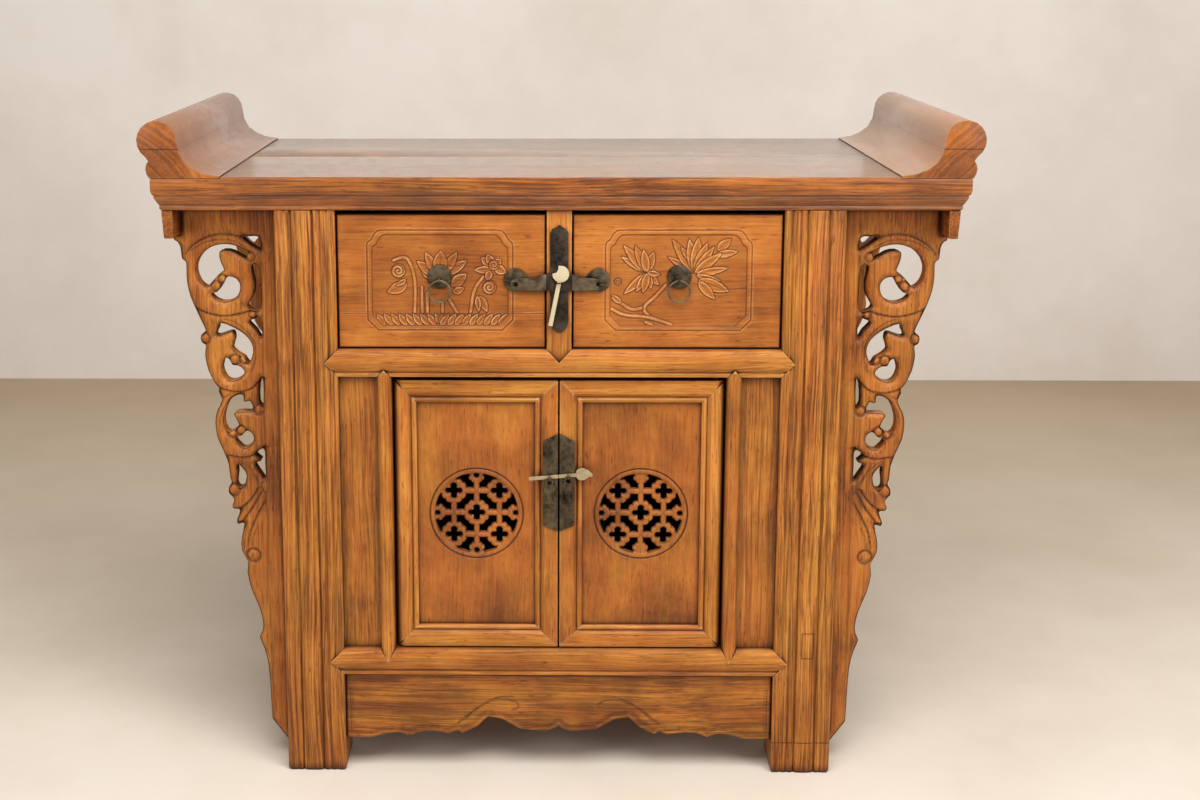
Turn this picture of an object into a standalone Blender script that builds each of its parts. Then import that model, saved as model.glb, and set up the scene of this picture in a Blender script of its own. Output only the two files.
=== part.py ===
import math
import bpy
import bmesh
from mathutils import Vector

for old in list(bpy.data.objects):
    bpy.data.objects.remove(old)

# Clearances
FIT = 0.0003
RUN = 0.0015
PIN_PLAY = 0.0004

# Top with its scrolled flanges
TOP_HALF = 0.5215
TOP_LIP = 0.0105
TOP_DEPTH = 0.490
FRONT_LIP = 0.012
CASE_TOP = 0.786
SLAB_T = 0.045
FRONT_BOARD_D = 0.133
MIDDLE_BOARD_D = 0.104
ROLL_R = 0.026
ROLL_RISE = 0.047
ROLL_IN = 0.011
TOE_IN = 0.0805
TOE_T = 0.0014
TOE_SOFT = 0.0022
FLANGE_SINK = 0.002
BATTEN_T = 0.0146
BATTEN_H = 0.038
BATTEN_SET = 0.001
BATTEN_LEAN = 0.0025

# Legs
LEG_OVERHANG = 0.1473
LEG_W = 0.0802
LEG_D = 0.078
GROOVE_D = 0.0024
FOOT_EASE = 0.004

# Openwork brackets beside the legs
BRACKET_T = 0.022
BRACKET_SET = 0.042
BRACKET_FOOT = 0.026
BRACKET_HIDDEN = 0.0064
FLARE_W = 0.009
FLARE_H = 0.0235

# Front rails, divider, muntins and apron
MID_RAIL_TOP = 0.5995
BOTTOM_RAIL_TOP = 0.179
RAIL_H = 0.038
RAIL_D = 0.045
RAIL_PROUD = 0.0025
RAIL_TIP = 0.018
TIP_T = 0.009
DIVIDER_HALF = 0.0163
DIVIDER_TIP = 0.017
DIVIDER_SET = 0.003
GUIDE_H = 0.040
MUNTIN_W = 0.020
MUNTIN_D = 0.028
MUNTIN_TIP_LOW = 0.0185
MUNTIN_TIP_HIGH = 0.010
SIDE_STRIP_W = 0.0504
SIDE_STRIP_SET = 0.0105
SIDE_STRIP_T = 0.012
APRON_T = 0.016
APRON_SET = 0.008
APRON_LOW = 0.045
APRON_RISE = 0.032

# Case boards
PANEL_T = 0.012
PANEL_SET = 0.022
SIDE_RAIL_T = 0.036
BACK_T = 0.014
BACK_SET = 0.020
BACK_LOW = 0.100
FLOOR_T = 0.016

# Drawers
DRAWER_SET = 0.006
DRAWER_FRONT_T = 0.018
DRAWER_GAP = 0.0018
DRAWER_TOP_GAP = 0.0064
DRAWER_WALL = 0.009
DRAWER_FLOOR = 0.008
DRAWER_SIDE_H = 0.145
DRAWER_BACK_GAP = 0.020
FIELD_W = 0.0955
FIELD_H = 0.067
FIELD_D = 0.0012
FIELD_SHIFT = 0.0015
FIELD_CUT = 0.018

# Doors
DOOR_GAP = 0.0012
DOOR_SIDE_GAP = 0.0016
DOOR_TOP_GAP = 0.0055
DOOR_LOW_GAP = 0.002
DOOR_T = 0.024
DOOR_SET = 0.007
FRAME_W = 0.0305
BEAD_W = 0.0072
LIP_T = 0.0075
DOOR_PANEL_T = 0.009
PIVOT_R = 0.0045
PIVOT_LONG = 0.008
PIVOT_ROOT = 0.016
MEDALLION_CELL = 0.0312
CROSS_LONG = 0.0108
CROSS_HALF = 0.0036
SLOT_HALF = 0.0042
SLOT_LONG = 0.0128
SLOT_IN = 0.0155
SLOT_OUT = 0.0430
SLOT_SIDE = 0.01395
SLOT_SHORT = 0.0092
DOT_R = 0.0036
DOT_OUT = 0.0505

# Drawer pulls and the lock bar
PLATE_T = 0.0017
PLATE_SINK = 0.0007
STAPLE_R = 0.0010
PULL_X = 0.1577
PULL_Z = 0.697
PULL_PLATE_R = 0.016
PULL_DROP = 0.0045
RING_R = 0.0142
RING_WIRE = 0.0014
PULL_STAND = 0.0057
LEFT_EYE_X = 0.0575
RIGHT_EYE_X = 0.0515
BAR_Z = 0.6904
BAR_H = 0.0214
HASP_H = 0.0168
HASP_T = 0.0020
HASP_STAND = 0.0033
EYE_HOLE_R = 0.0032
EYE_RIM = 0.0036
HASP_PLATE_R = 0.0155
HASP_PLATE_UP = 0.0045
STRAP_HALF = 0.0117
STRAP_TOP = 0.7665
STRAP_LOW = 0.6225
STRAP_T = 0.0015
KEEPER_T = 0.0028
KEEPER_END = 0.0006
PEG_W = 0.0056
PEG_T = 0.0024
PEG_LONG = 0.060
PEG_TILT = 0.195
PEG_HEAD_R = 0.0110

# Door lock plates, drops and pin
DOOR_PLATE_HALF = 0.0215
DOOR_PLATE_UP = 0.0578
DOOR_PLATE_DOWN = 0.0777
DOOR_PLATE_POINT = 0.0105
DOOR_STAPLE_X = 0.0125
PIN_Z = 0.4247
PIN_TILT = 0.09
PIN_H = 0.0050
PIN_T = 0.0022
PIN_TAIL = 0.0405
PIN_NECK = 0.0235
PIN_HEAD_LONG = 0.0225
DROP_T = 0.0014
DROP_RIM = 0.0026
DROP_HOLE_R = 0.0033
DROP_LONG = 0.038
DROP_HALF = 0.0080

# Derived planes and edges
LEG_OUT = TOP_HALF - LEG_OVERHANG
CASE_FRONT = -TOP_DEPTH / 2 + FRONT_LIP
CASE_BACK = -CASE_FRONT
LEG_IN = LEG_OUT - LEG_W
MUNTIN_X = LEG_IN - FIT - SIDE_STRIP_W - FIT - MUNTIN_W / 2
LEG_BACK = CASE_FRONT + LEG_D
SLAB_TOP = CASE_TOP + SLAB_T
RAIL_BACK = CASE_FRONT - RAIL_PROUD + RAIL_D
MID_RAIL_LOW = MID_RAIL_TOP - RAIL_H
BOTTOM_RAIL_LOW = BOTTOM_RAIL_TOP - RAIL_H
TIP_BACK = CASE_FRONT + TIP_T
DRAWER_FACE = CASE_FRONT + DRAWER_SET
DIVIDER_FACE = CASE_FRONT + DIVIDER_SET
DOOR_FACE = CASE_FRONT + DOOR_SET
DOOR_OUT = MUNTIN_X - MUNTIN_W / 2 - DOOR_SIDE_GAP
DOOR_LOW = BOTTOM_RAIL_TOP + DOOR_LOW_GAP
DOOR_TOP = MID_RAIL_LOW - DOOR_TOP_GAP
PIVOT_X = DOOR_OUT - DOOR_T / 2
PIVOT_Y = DOOR_FACE + DOOR_T / 2
SIDE_PANEL_OUT = LEG_OUT - PANEL_SET
SIDE_PANEL_IN = SIDE_PANEL_OUT - PANEL_T
SIDE_RAIL_OUT = SIDE_PANEL_OUT + PANEL_T / 2
SIDE_RAIL_IN = SIDE_RAIL_OUT - SIDE_RAIL_T

WOOD = (0.50, 0.23, 0.08)
DARK = (0.10, 0.085, 0.07)
PALE = (0.80, 0.70, 0.52)


def material(name, colour, metallic):
    mat = bpy.data.materials.new(name)
    mat.use_nodes = True
    node = mat.node_tree.nodes["Principled BSDF"]
    node.inputs["Base Color"].default_value = (*colour, 1.0)
    node.inputs["Metallic"].default_value = metallic
    node.inputs["Roughness"].default_value = 0.45
    return mat


def place(name, bm, colour, origin=(0, 0, 0), metallic=0.0):
    bmesh.ops.recalc_face_normals(bm, faces=bm.faces[:])
    if bm.calc_volume(signed=True) < 0:
        bmesh.ops.reverse_faces(bm, faces=bm.faces[:])
    bmesh.ops.translate(bm, verts=bm.verts[:], vec=-Vector(origin))
    mesh = bpy.data.meshes.new(name)
    bm.to_mesh(mesh)
    bm.free()
    ob = bpy.data.objects.new(name, mesh)
    ob.location = origin
    mesh.materials.append(material(name, colour, metallic))
    bpy.context.scene.collection.objects.link(ob)
    return ob


def wood(name, bm, origin=(0, 0, 0)):
    return place(name, bm, WOOD, origin)


def metal(name, bm, origin=(0, 0, 0), colour=DARK):
    return place(name, bm, colour, origin, 0.8)


def combine(ob, name, bm, operation):
    tool = place(name, bm, WOOD)
    tool.hide_render = True
    tool.display_type = "WIRE"
    mod = ob.modifiers.new(name, "BOOLEAN")
    mod.operation = operation
    mod.solver = "EXACT"
    mod.object = tool


def cut(ob, name, bm):
    combine(ob, ob.name + "_" + name, bm, "DIFFERENCE")


def join(ob, name, bm):
    combine(ob, ob.name + "_" + name, bm, "UNION")


def spot(axis, a, b, along):
    if axis == "X":
        return (along, a, b)
    if axis == "Y":
        return (a, along, b)
    return (a, b, along)


def prism(loops, axis, low, high):
    bm = bmesh.new()
    edges = []
    for loop in loops:
        verts = [bm.verts.new(spot(axis, a, b, low)) for a, b in loop]
        for i, vert in enumerate(verts):
            edges.append(bm.edges.new((vert, verts[(i + 1) % len(verts)])))
        if len(loops) == 1:
            bm.faces.new(verts)
    if len(loops) > 1:
        bmesh.ops.triangle_fill(bm, use_beauty=True, edges=edges)
    made = bmesh.ops.extrude_face_region(bm, geom=bm.faces[:])
    moved = [item for item in made["geom"] if isinstance(item, bmesh.types.BMVert)]
    bmesh.ops.translate(bm, verts=moved, vec=Vector(spot(axis, 0, 0, high - low)))
    return bm


def box(x0, x1, y0, y1, z0, z1):
    return prism([[(x0, y0), (x1, y0), (x1, y1), (x0, y1)]], "Z", z0, z1)


def loft(rings):
    bm = bmesh.new()
    rows = [[bm.verts.new(p) for p in ring] for ring in rings]
    count = len(rows[0])
    for low, high in zip(rows, rows[1:]):
        for i in range(count):
            j = (i + 1) % count
            bm.faces.new((low[i], low[j], high[j], high[i]))
    bm.faces.new(rows[0])
    bm.faces.new(rows[-1])
    return bm


def tube(path, radius, closed, sides=8):
    bm = bmesh.new()
    rows = []
    count = len(path)
    points = [Vector(p) for p in path]
    normal = (points[1] - points[0]).cross(points[2] - points[1]).normalized()
    for i, point in enumerate(points):
        before = points[(i - 1) % count] if closed or i else point
        after = points[(i + 1) % count] if closed or i < count - 1 else point
        along = (after - before).normalized()
        side = along.cross(normal).normalized()
        row = []
        for k in range(sides):
            turn = 2 * math.pi * k / sides
            reach = math.cos(turn) * side + math.sin(turn) * normal
            row.append(bm.verts.new(point + radius * reach))
        rows.append(row)
    for i in range(count if closed else count - 1):
        low, high = rows[i], rows[(i + 1) % count]
        for k in range(sides):
            m = (k + 1) % sides
            bm.faces.new((low[k], low[m], high[m], high[k]))
    if not closed:
        bm.faces.new(rows[0])
        bm.faces.new(rows[-1])
    return bm


def circle(a, b, radius, sides):
    rim = []
    for k in range(sides):
        turn = 2 * math.pi * k / sides
        rim.append((a + radius * math.cos(turn), b + radius * math.sin(turn)))
    return rim


def disc(x, y, z, radius, depth, axis, sides=20):
    if axis == "Y":
        return prism([circle(x, z, radius, sides)], "Y", y, y + depth)
    return prism([circle(x, y, radius, sides)], "Z", z, z + depth)


def rotated(points, turn, x=0.0, z=0.0):
    made = []
    for a, b in points:
        made.append((x + a * math.cos(turn) - b * math.sin(turn), z + a * math.sin(turn) + b * math.cos(turn)))
    return made


def smooth(points, steps):
    made = []
    count = len(points)
    for i in range(count):
        p0, p1 = points[i - 1], points[i]
        p2, p3 = points[(i + 1) % count], points[(i + 2) % count]
        for k in range(steps):
            t = k / steps
            row = []
            for c in (0, 1):
                a, b, d, e = p0[c], p1[c], p2[c], p3[c]
                bend = 2 * a - 5 * b + 4 * d - e
                twist = 3 * b - a - 3 * d + e
                row.append(b + 0.5 * t * (d - a + t * (bend + t * twist)))
            made.append(tuple(row))
    return made


def mirrored(points):
    return [(-a, b) for a, b in points]


def staple(axis, centre, radius, root, wire):
    x, y, z = centre
    path = []
    for k in range(9):
        turn = math.pi * k / 8
        side, out = radius * math.cos(turn), radius * math.sin(turn)
        path.append((x + side, y - out, z) if axis == "Z" else (x, y - out, z + side))
    first, last = path[0], path[-1]
    path = [(first[0], root, first[2])] + path + [(last[0], root, last[2])]
    return tube(path, wire, False)


# Slab boards: stacked outlines follow the moulded edge, in parts of the lip and thickness
EDGE = [(0.0, 0.0), (0.16, 0.03), (0.18, 0.09), (0.08, 0.125), (0.20, 0.16), (0.46, 0.27), (0.74, 0.40),
        (0.62, 0.435), (0.86, 0.47), (1.0, 0.60), (1.0, 0.90), (0.94, 1.0)]
roll_x = TOP_HALF + TOP_LIP - ROLL_IN
roll_z = SLAB_TOP + ROLL_RISE
toe_x = roll_x - TOE_IN - FIT


def slab(name, front, back, front_lip, back_lip):
    rings = []
    for out, up in EDGE:
        x = TOP_HALF + TOP_LIP * out
        y0 = front + front_lip * (1 - out)
        y1 = back - back_lip * (1 - out)
        z = CASE_TOP + SLAB_T * up
        rings.append([(-x, y0, z), (x, y0, z), (x, y1, z), (-x, y1, z)])
    ob = wood(name, loft(rings))
    low, high = SLAB_TOP - FLANGE_SINK, SLAB_TOP + SLAB_T
    cut(ob, "rebate_left", box(-TOP_HALF - TOE_IN, -toe_x, front - TOE_IN, back + TOE_IN, low, high))
    cut(ob, "rebate_right", box(toe_x, TOP_HALF + TOE_IN, front - TOE_IN, back + TOE_IN, low, high))


seam_one = -TOP_DEPTH / 2 + FRONT_BOARD_D
seam_two = seam_one + MIDDLE_BOARD_D
slab("top_front_rail", -TOP_DEPTH / 2, seam_one, FRONT_LIP, 0)
slab("top_board_middle", seam_one + FIT, seam_two, 0, 0)
slab("top_board_back", seam_two + FIT, TOP_DEPTH / 2, 0, FRONT_LIP)

# Everted flanges: cove, roll and the small outer lobe, drawn inward and up from the roll's centre
COVE = [(0.755, 0.09), (0.60, 0.20), (0.44, 0.40), (0.352, 0.68)]
LOBE = [(-0.45, -0.565), (-0.565, -0.66), (-0.60, -0.79), (-0.555, -0.92)]
LOBE_FOOT = 0.44
flange_low = FIT - ROLL_RISE - FLANGE_SINK
flange = [(TOE_IN, flange_low), (TOE_IN, TOE_T - ROLL_RISE), (0.91 * TOE_IN, TOE_SOFT - ROLL_RISE)]
for inward, up in COVE:
    flange.append((inward * TOE_IN, (up - 1) * ROLL_RISE))
for k in range(13):
    turn = math.radians(235) * k / 12
    flange.append((ROLL_R * math.cos(turn), ROLL_R * math.sin(turn)))
for inward, up in LOBE:
    flange.append((inward * ROLL_R, up * ROLL_RISE))
flange.append((-LOBE_FOOT * ROLL_R, flange_low))
for name, side in (("flange_left", -1), ("flange_right", 1)):
    outline = [(side * (roll_x - inward), roll_z + up) for inward, up in flange]
    wood(name, prism([outline], "Y", -TOP_DEPTH / 2, TOP_DEPTH / 2))

# End battens under the overhang
for name, side in (("end_batten_left", -1), ("end_batten_right", 1)):
    outer, inner = side * TOP_HALF, side * (TOP_HALF - BATTEN_T)
    foot = side * (TOP_HALF - BATTEN_LEAN)
    y = CASE_FRONT + BATTEN_SET
    low, high = CASE_TOP - BATTEN_H, CASE_TOP - FIT
    wood(name, prism([[(inner, low), (foot, low), (outer, high), (inner, high)]], "Y", y, -y))

# Legs: reeded front faces, width in parts from the outer edge, depth in parts of the groove
REEDS = [(0.0, 1.4), (0.02, 0.4), (0.07, 0.0), (0.13, 0.1), (0.16, 0.7), (0.19, 0.1), (0.235, 0.1),
         (0.265, 1.3), (0.295, 0.2), (0.36, -0.2), (0.45, -0.35), (0.54, -0.2), (0.595, 0.2), (0.62, 1.3),
         (0.65, 0.1), (0.71, 0.1), (0.74, 0.8), (0.77, 0.1), (0.83, 0.1), (0.86, 0.8), (0.89, 0.1),
         (0.97, 0.1), (1.0, 0.9)]
PLAIN = [(0.0, 1.0), (0.03, 0.0), (0.97, 0.0), (1.0, 1.0)]


def tip(x, z_low, z_high, reach, grow):
    side = 1 if x > 0 else -1
    mid = (z_low + z_high) / 2
    root = x - side * grow
    return [(root, z_low - grow), (x + side * (reach + grow), mid), (root, z_high + grow)]


def leg(name, side, front, face):
    line = []
    way = 1 if front else -1
    for part, depth in (REEDS if front else PLAIN):
        line.append((side * (LEG_OUT - part * LEG_W), face + way * depth * GROOVE_D))
    back = face + way * LEG_D
    line += [(side * LEG_IN, back), (side * LEG_OUT, back)]
    mid_x = side * (LEG_OUT + LEG_IN) / 2
    mid_y = (face + back) / 2
    foot = []
    keep_x, keep_y = 1 - FOOT_EASE / LEG_W, 1 - FOOT_EASE / LEG_D
    for x, y in line:
        foot.append((mid_x + (x - mid_x) * keep_x, mid_y + (y - mid_y) * keep_y))
    rings = [[(x, y, 0) for x, y in foot], [(x, y, FOOT_EASE) for x, y in line],
             [(x, y, CASE_TOP - FIT) for x, y in line]]
    ob = wood(name, loft(rings))
    if front:
        for low, label in ((MID_RAIL_LOW, "upper"), (BOTTOM_RAIL_LOW, "lower")):
            notch = tip(side * LEG_IN, low, low + RAIL_H, RAIL_TIP, FIT)
            cut(ob, label, prism([notch], "Y", CASE_FRONT - RAIL_D, TIP_BACK + FIT))


leg("leg_front_left", -1, True, CASE_FRONT)
leg("leg_front_right", 1, True, CASE_FRONT)
leg("leg_back_left", -1, False, CASE_BACK)
leg("leg_back_right", 1, False, CASE_BACK)

# Openwork brackets: scrolls drawn on a grid, across from the batten to the leg and down from the top
GRID_LEFT = 183.6
GRID_LEG = 275.1
GRID_TOP = 206.5
GRID_FOOT = 741.0
GRID_LEAN = 0.0191
GRID_GROW = 0.000104
BRACKET_EDGE = [
    (183.6, 249), (184.6, 254), (185.5, 260), (189.2, 263), (189.3, 276), (191, 290), (195.5, 304), (203, 321),
    (207.6, 332), (203.4, 335), (202.2, 339.5), (204, 344), (207.4, 346), (206.4, 355), (209, 370),
    (216, 384.5), (219.8, 388.5), (219.2, 393), (222.6, 400.8), (217.4, 412), (215.4, 423), (217.2, 438),
    (223, 451.5), (228, 465), (229.3, 478), (231, 483.5), (228.2, 488), (228, 494.5), (233.4, 500.3),
    (230.9, 507), (233.6, 510.2), (239.4, 510.6), (235.6, 521), (237.2, 525.5), (243.2, 524), (240, 540),
    (240.3, 552), (246.4, 563.5), (245.5, 574), (249.8, 592), (257.5, 610), (260.9, 625.5), (259.6, 634),
    (257.3, 639.5), (262, 651), (266, 668), (268, 698), (269.2, 721), (272.5, 732)]
BRACKET_HOLES = [
    [(251, 254), (245.4, 249.6), (235.8, 246), (224.6, 244.9), (213.5, 248), (204.7, 255.2), (199.9, 263.2),
     (198.7, 272), (202, 282), (209, 288), (213.2, 284), (217.5, 279), (221.5, 274.8), (226.5, 271),
     (223.2, 263), (221.9, 252.6), (231, 251.2), (239, 254.4), (247, 259)],
    [(228.6, 277.8), (236, 278.2), (241.5, 284), (241, 293.5), (235, 300.5), (226, 302.8), (217.5, 300),
     (212.8, 294.4), (219, 293), (224, 286)],
    [(252.5, 266.5), (260.5, 267), (262, 288), (262, 309.5), (254.4, 311.4), (248.4, 306.4), (254.4, 296),
     (255.6, 283)],
    [(243.4, 237.8), (252, 237.2), (261, 237.8), (261, 251)],
    [(222, 323.6), (235, 328.4), (246, 335.6), (252.4, 344), (253.8, 354), (249.2, 364.6), (245, 358.6),
     (240.6, 356), (233.2, 349.6), (235.8, 340), (233.6, 332.6), (225, 335), (217, 336.6), (219.4, 330)],
    [(226, 359), (230.4, 360), (233.4, 366), (239.6, 366.4), (245.6, 372.8), (240, 379.6), (232.8, 382),
     (226.4, 379), (222.6, 369)],
    [(249.6, 323.4), (254.4, 319.8), (262, 319.4), (262.6, 339.6), (256.8, 330.8)],
    [(235, 397), (243.6, 395.4), (244, 403.4), (250.2, 401.4), (253.4, 412), (243, 412.6), (233.8, 414.8),
     (239.4, 426), (229.4, 433.8), (224.4, 427), (224, 417), (228.4, 404)],
    [(234.2, 439.6), (242, 436.2), (246.8, 431.2), (252.6, 435), (253.4, 441), (249, 447.6), (242, 449)],
    [(263.2, 377), (263.6, 406.4), (258.8, 403.4), (259.2, 386)],
    [(263.8, 448.4), (254.6, 456), (261.4, 461.6), (253.4, 464.6), (260, 475.6), (264.8, 481), (264.6, 464)],
    [(235.6, 463.8), (242.6, 470), (246, 477), (243.2, 487.4), (238, 489), (235.6, 484), (236.8, 473)]]
FLARE = [(0.0, 0.0), (1.0, 0.0), (1.0, 0.36), (0.60, 0.41), (0.28, 0.56), (0.07, 0.78)]


def bracket_point(across, down):
    drop = down - GRID_TOP
    full = GRID_FOOT - GRID_TOP
    edge = GRID_LEG + GRID_LEAN * drop
    wide = (batten_side - leg_side - BRACKET_HIDDEN) / (GRID_LEG - GRID_LEFT)
    tall = bracket_top - BRACKET_FOOT
    part = drop * (1 + GRID_GROW * drop) / (full * (1 + GRID_GROW * full))
    return (leg_side + BRACKET_HIDDEN + (edge - across) * wide, bracket_top - part * tall)


leg_side = LEG_OUT + FIT
batten_side = TOP_HALF - BATTEN_T - FIT
bracket_top = CASE_TOP - FIT
fine = smooth([bracket_point(*p) for p in BRACKET_EDGE], 2)[:-3]
fine = [(min(a, batten_side), b) for a, b in fine if b > BRACKET_FOOT]
batten_low = CASE_TOP - BATTEN_H - FIT
flare = [(batten_side + FLARE_W * out, batten_low - FLARE_H * down) for out, down in FLARE]
outline = [(batten_side, bracket_top)] + flare + [(a, b) for a, b in fine if b < batten_low - FLARE_H]
outline += [(leg_side + BRACKET_HIDDEN, BRACKET_FOOT), (leg_side, BRACKET_FOOT), (leg_side, bracket_top)]
holes = [smooth([bracket_point(*p) for p in hole], 2) for hole in BRACKET_HOLES]
loops = [outline] + holes
bracket_front = CASE_FRONT + BRACKET_SET
for end, low in (("front", bracket_front), ("back", -bracket_front - BRACKET_T)):
    wood("bracket_" + end + "_right", prism(loops, "Y", low, low + BRACKET_T))
    wood("bracket_" + end + "_left", prism([mirrored(loop) for loop in loops], "Y", low, low + BRACKET_T))

# Front rails: moulded bars whose pointed ends lie in the legs, in parts of the height and the swell
RAIL_LINE = [(0.0, 1.6), (0.02, 0.48), (0.13, 0.4), (0.165, 1.28), (0.24, 0.4), (0.40, -0.64),
             (0.58, -1.0), (0.78, -0.84), (0.93, -0.12), (1.0, 1.6)]


def front_rail(name, low):
    line = [(CASE_FRONT + depth * RAIL_PROUD, low + part * RAIL_H) for part, depth in RAIL_LINE]
    line += [(RAIL_BACK, low + RAIL_H), (RAIL_BACK, low)]
    reach = LEG_IN + RAIL_TIP
    ob = wood(name, prism([line], "X", -reach, reach))
    for side, label in ((-1, "left"), (1, "right")):
        root = side * (LEG_IN - FIT)
        away = side * (reach + RAIL_D)
        over = RAIL_H / 2
        point = side * reach
        chevron = [(root, low - over), (root, low), (point, low + RAIL_H / 2), (root, low + RAIL_H),
                   (root, low + RAIL_H + over), (away, low + RAIL_H + over), (away, low - over)]
        cut(ob, label + "_point", prism([chevron], "Y", CASE_FRONT - RAIL_D, RAIL_BACK + RAIL_D))
        x0, x1 = sorted((root, away))
        back = RAIL_BACK + RAIL_D
        cut(ob, label + "_back", box(x0, x1, TIP_BACK, back, low - over, low + RAIL_H + over))
    return ob


middle_rail = front_rail("middle_rail", MID_RAIL_LOW)
bottom_rail = front_rail("bottom_rail", BOTTOM_RAIL_LOW)


def housing(ob, label, x, half, edge, reach):
    way = FIT if reach > 0 else -FIT
    wide = half + FIT
    line = [(x - wide, edge - way), (x + wide, edge - way), (x, edge + reach + 2 * way)]
    cut(ob, label, prism([line], "Y", CASE_FRONT - RAIL_D, TIP_BACK + FIT))


housing(middle_rail, "divider", 0, DIVIDER_HALF, MID_RAIL_TOP, -DIVIDER_TIP)
hole = PIVOT_R + FIT
deep = PIVOT_LONG + 2 * FIT
for side, label in ((-1, "left"), (1, "right")):
    x = side * MUNTIN_X
    housing(middle_rail, label + "_muntin", x, MUNTIN_W / 2, MID_RAIL_LOW, MUNTIN_TIP_HIGH)
    housing(bottom_rail, label + "_muntin", x, MUNTIN_W / 2, BOTTOM_RAIL_TOP, -MUNTIN_TIP_LOW)
    for ob, z in ((middle_rail, MID_RAIL_LOW), (bottom_rail, BOTTOM_RAIL_TOP)):
        cut(ob, label + "_socket", disc(side * PIVOT_X, PIVOT_Y, z - deep, hole, 2 * deep, "Z", 16))

# Divider between the drawers, with the guide that runs back from it
guide_back = CASE_BACK - BACK_SET - BACK_T - FIT
low = MID_RAIL_TOP + FIT
profile = [(DIVIDER_FACE, low), (DIVIDER_FACE, CASE_TOP - FIT), (RAIL_BACK, CASE_TOP - FIT),
           (RAIL_BACK, low + GUIDE_H), (guide_back, low + GUIDE_H), (guide_back, low)]
divider = wood("drawer_divider", prism([profile], "X", -DIVIDER_HALF, DIVIDER_HALF))
point = [(-DIVIDER_HALF, low + FIT), (0, MID_RAIL_TOP - DIVIDER_TIP), (DIVIDER_HALF, low + FIT),
         (DIVIDER_HALF, low + DIVIDER_TIP), (-DIVIDER_HALF, low + DIVIDER_TIP)]
join(divider, "point", prism([point], "Y", DIVIDER_FACE, TIP_BACK))

# Half-round muntins beside the doors and the fixed strips outside them
for side, label in ((-1, "left"), (1, "right")):
    centre = side * MUNTIN_X
    half = MUNTIN_W / 2
    spring = CASE_FRONT - RAIL_PROUD + half
    line = []
    for k in range(9):
        turn = math.pi * k / 8
        line.append((centre + half * math.cos(turn), spring - half * math.sin(turn)))
    line += [(centre - half, spring + MUNTIN_D - half), (centre + half, spring + MUNTIN_D - half)]
    bottom, top = BOTTOM_RAIL_TOP - MUNTIN_TIP_LOW, MID_RAIL_LOW + MUNTIN_TIP_HIGH
    ob = wood("muntin_" + label, prism([line], "Z", bottom, top))
    far = MUNTIN_W
    behind = CASE_FRONT + MUNTIN_D + RAIL_D
    low_edge, high_edge = BOTTOM_RAIL_TOP + FIT, MID_RAIL_LOW - FIT
    for end, edge, point, past in (("low", low_edge, bottom, -far), ("high", high_edge, top, far)):
        shoulder = [(centre - far, edge), (centre - half, edge), (centre, point), (centre + half, edge),
                    (centre + far, edge), (centre + far, point + past), (centre - far, point + past)]
        cut(ob, end + "_point", prism([shoulder], "Y", CASE_FRONT - RAIL_D, behind))
        z0, z1 = sorted((edge, point + past))
        cut(ob, end + "_back", box(centre - far, centre + far, TIP_BACK, behind, z0, z1))
    x0, x1 = sorted((side * (MUNTIN_X + half + FIT), side * (LEG_IN - FIT)))
    face = CASE_FRONT + SIDE_STRIP_SET
    wood("front_strip_" + label, box(x0, x1, face, face + SIDE_STRIP_T, low_edge, high_edge))

# Shaped apron, half outline across from the middle and up in parts
APRON_HALF = [(0.0, 0.60), (0.012, 0.50), (0.045, 0.36), (0.09, 0.36), (0.18, 0.44), (0.265, 0.90),
              (0.33, 1.0), (0.355, 0.80), (0.375, 0.58), (0.425, 0.34), (0.455, 0.22), (0.475, 0.36),
              (0.515, 0.20), (0.60, 0.32), (0.66, 0.26), (0.70, 0.10), (0.75, 0.26), (0.81, 0.20),
              (0.875, 0.02), (0.94, 0.0), (1.0, 0.0)]
apron_half = LEG_IN - FIT
half_line = [(part * apron_half, APRON_LOW + up * APRON_RISE) for part, up in APRON_HALF]
outline = half_line + [(apron_half, BOTTOM_RAIL_LOW - FIT), (-apron_half, BOTTOM_RAIL_LOW - FIT)]
outline += mirrored(half_line)[:0:-1]
face = CASE_FRONT + APRON_SET
wood("apron", prism([outline], "Y", face, face + APRON_T))

# Sides, back, floor and the board under the drawers
side_span = -LEG_BACK - FIT
for label, side in (("left", -1), ("right", 1)):
    x0, x1 = sorted((side * SIDE_PANEL_OUT, side * SIDE_PANEL_IN))
    low, high = BOTTOM_RAIL_TOP + FIT, CASE_TOP - FIT
    wood("side_panel_" + label, box(x0, x1, -side_span, side_span, low, high))
    x0, x1 = sorted((side * SIDE_RAIL_OUT, side * SIDE_RAIL_IN))
    wood("side_rail_" + label, box(x0, x1, -side_span, side_span, BOTTOM_RAIL_LOW, BOTTOM_RAIL_TOP))
back_face = CASE_BACK - BACK_SET
back_half = LEG_IN - FIT
wood("back_panel", box(-back_half, back_half, back_face - BACK_T, back_face, BACK_LOW, CASE_TOP - FIT))


def board(name, top, wide):
    front, back = RAIL_BACK + FIT, back_face - BACK_T - FIT
    narrow = LEG_IN - FIT
    line = [(-narrow, front), (narrow, front), (narrow, -side_span), (wide, -side_span), (wide, side_span),
            (narrow, side_span), (narrow, back), (-narrow, back), (-narrow, side_span), (-wide, side_span),
            (-wide, -side_span), (-narrow, -side_span)]
    wood(name, prism([line], "Z", top - FLOOR_T, top))


board("floor_board", BOTTOM_RAIL_TOP, SIDE_RAIL_IN - FIT)
board("drawer_board", MID_RAIL_TOP, SIDE_PANEL_IN - FIT)

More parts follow.
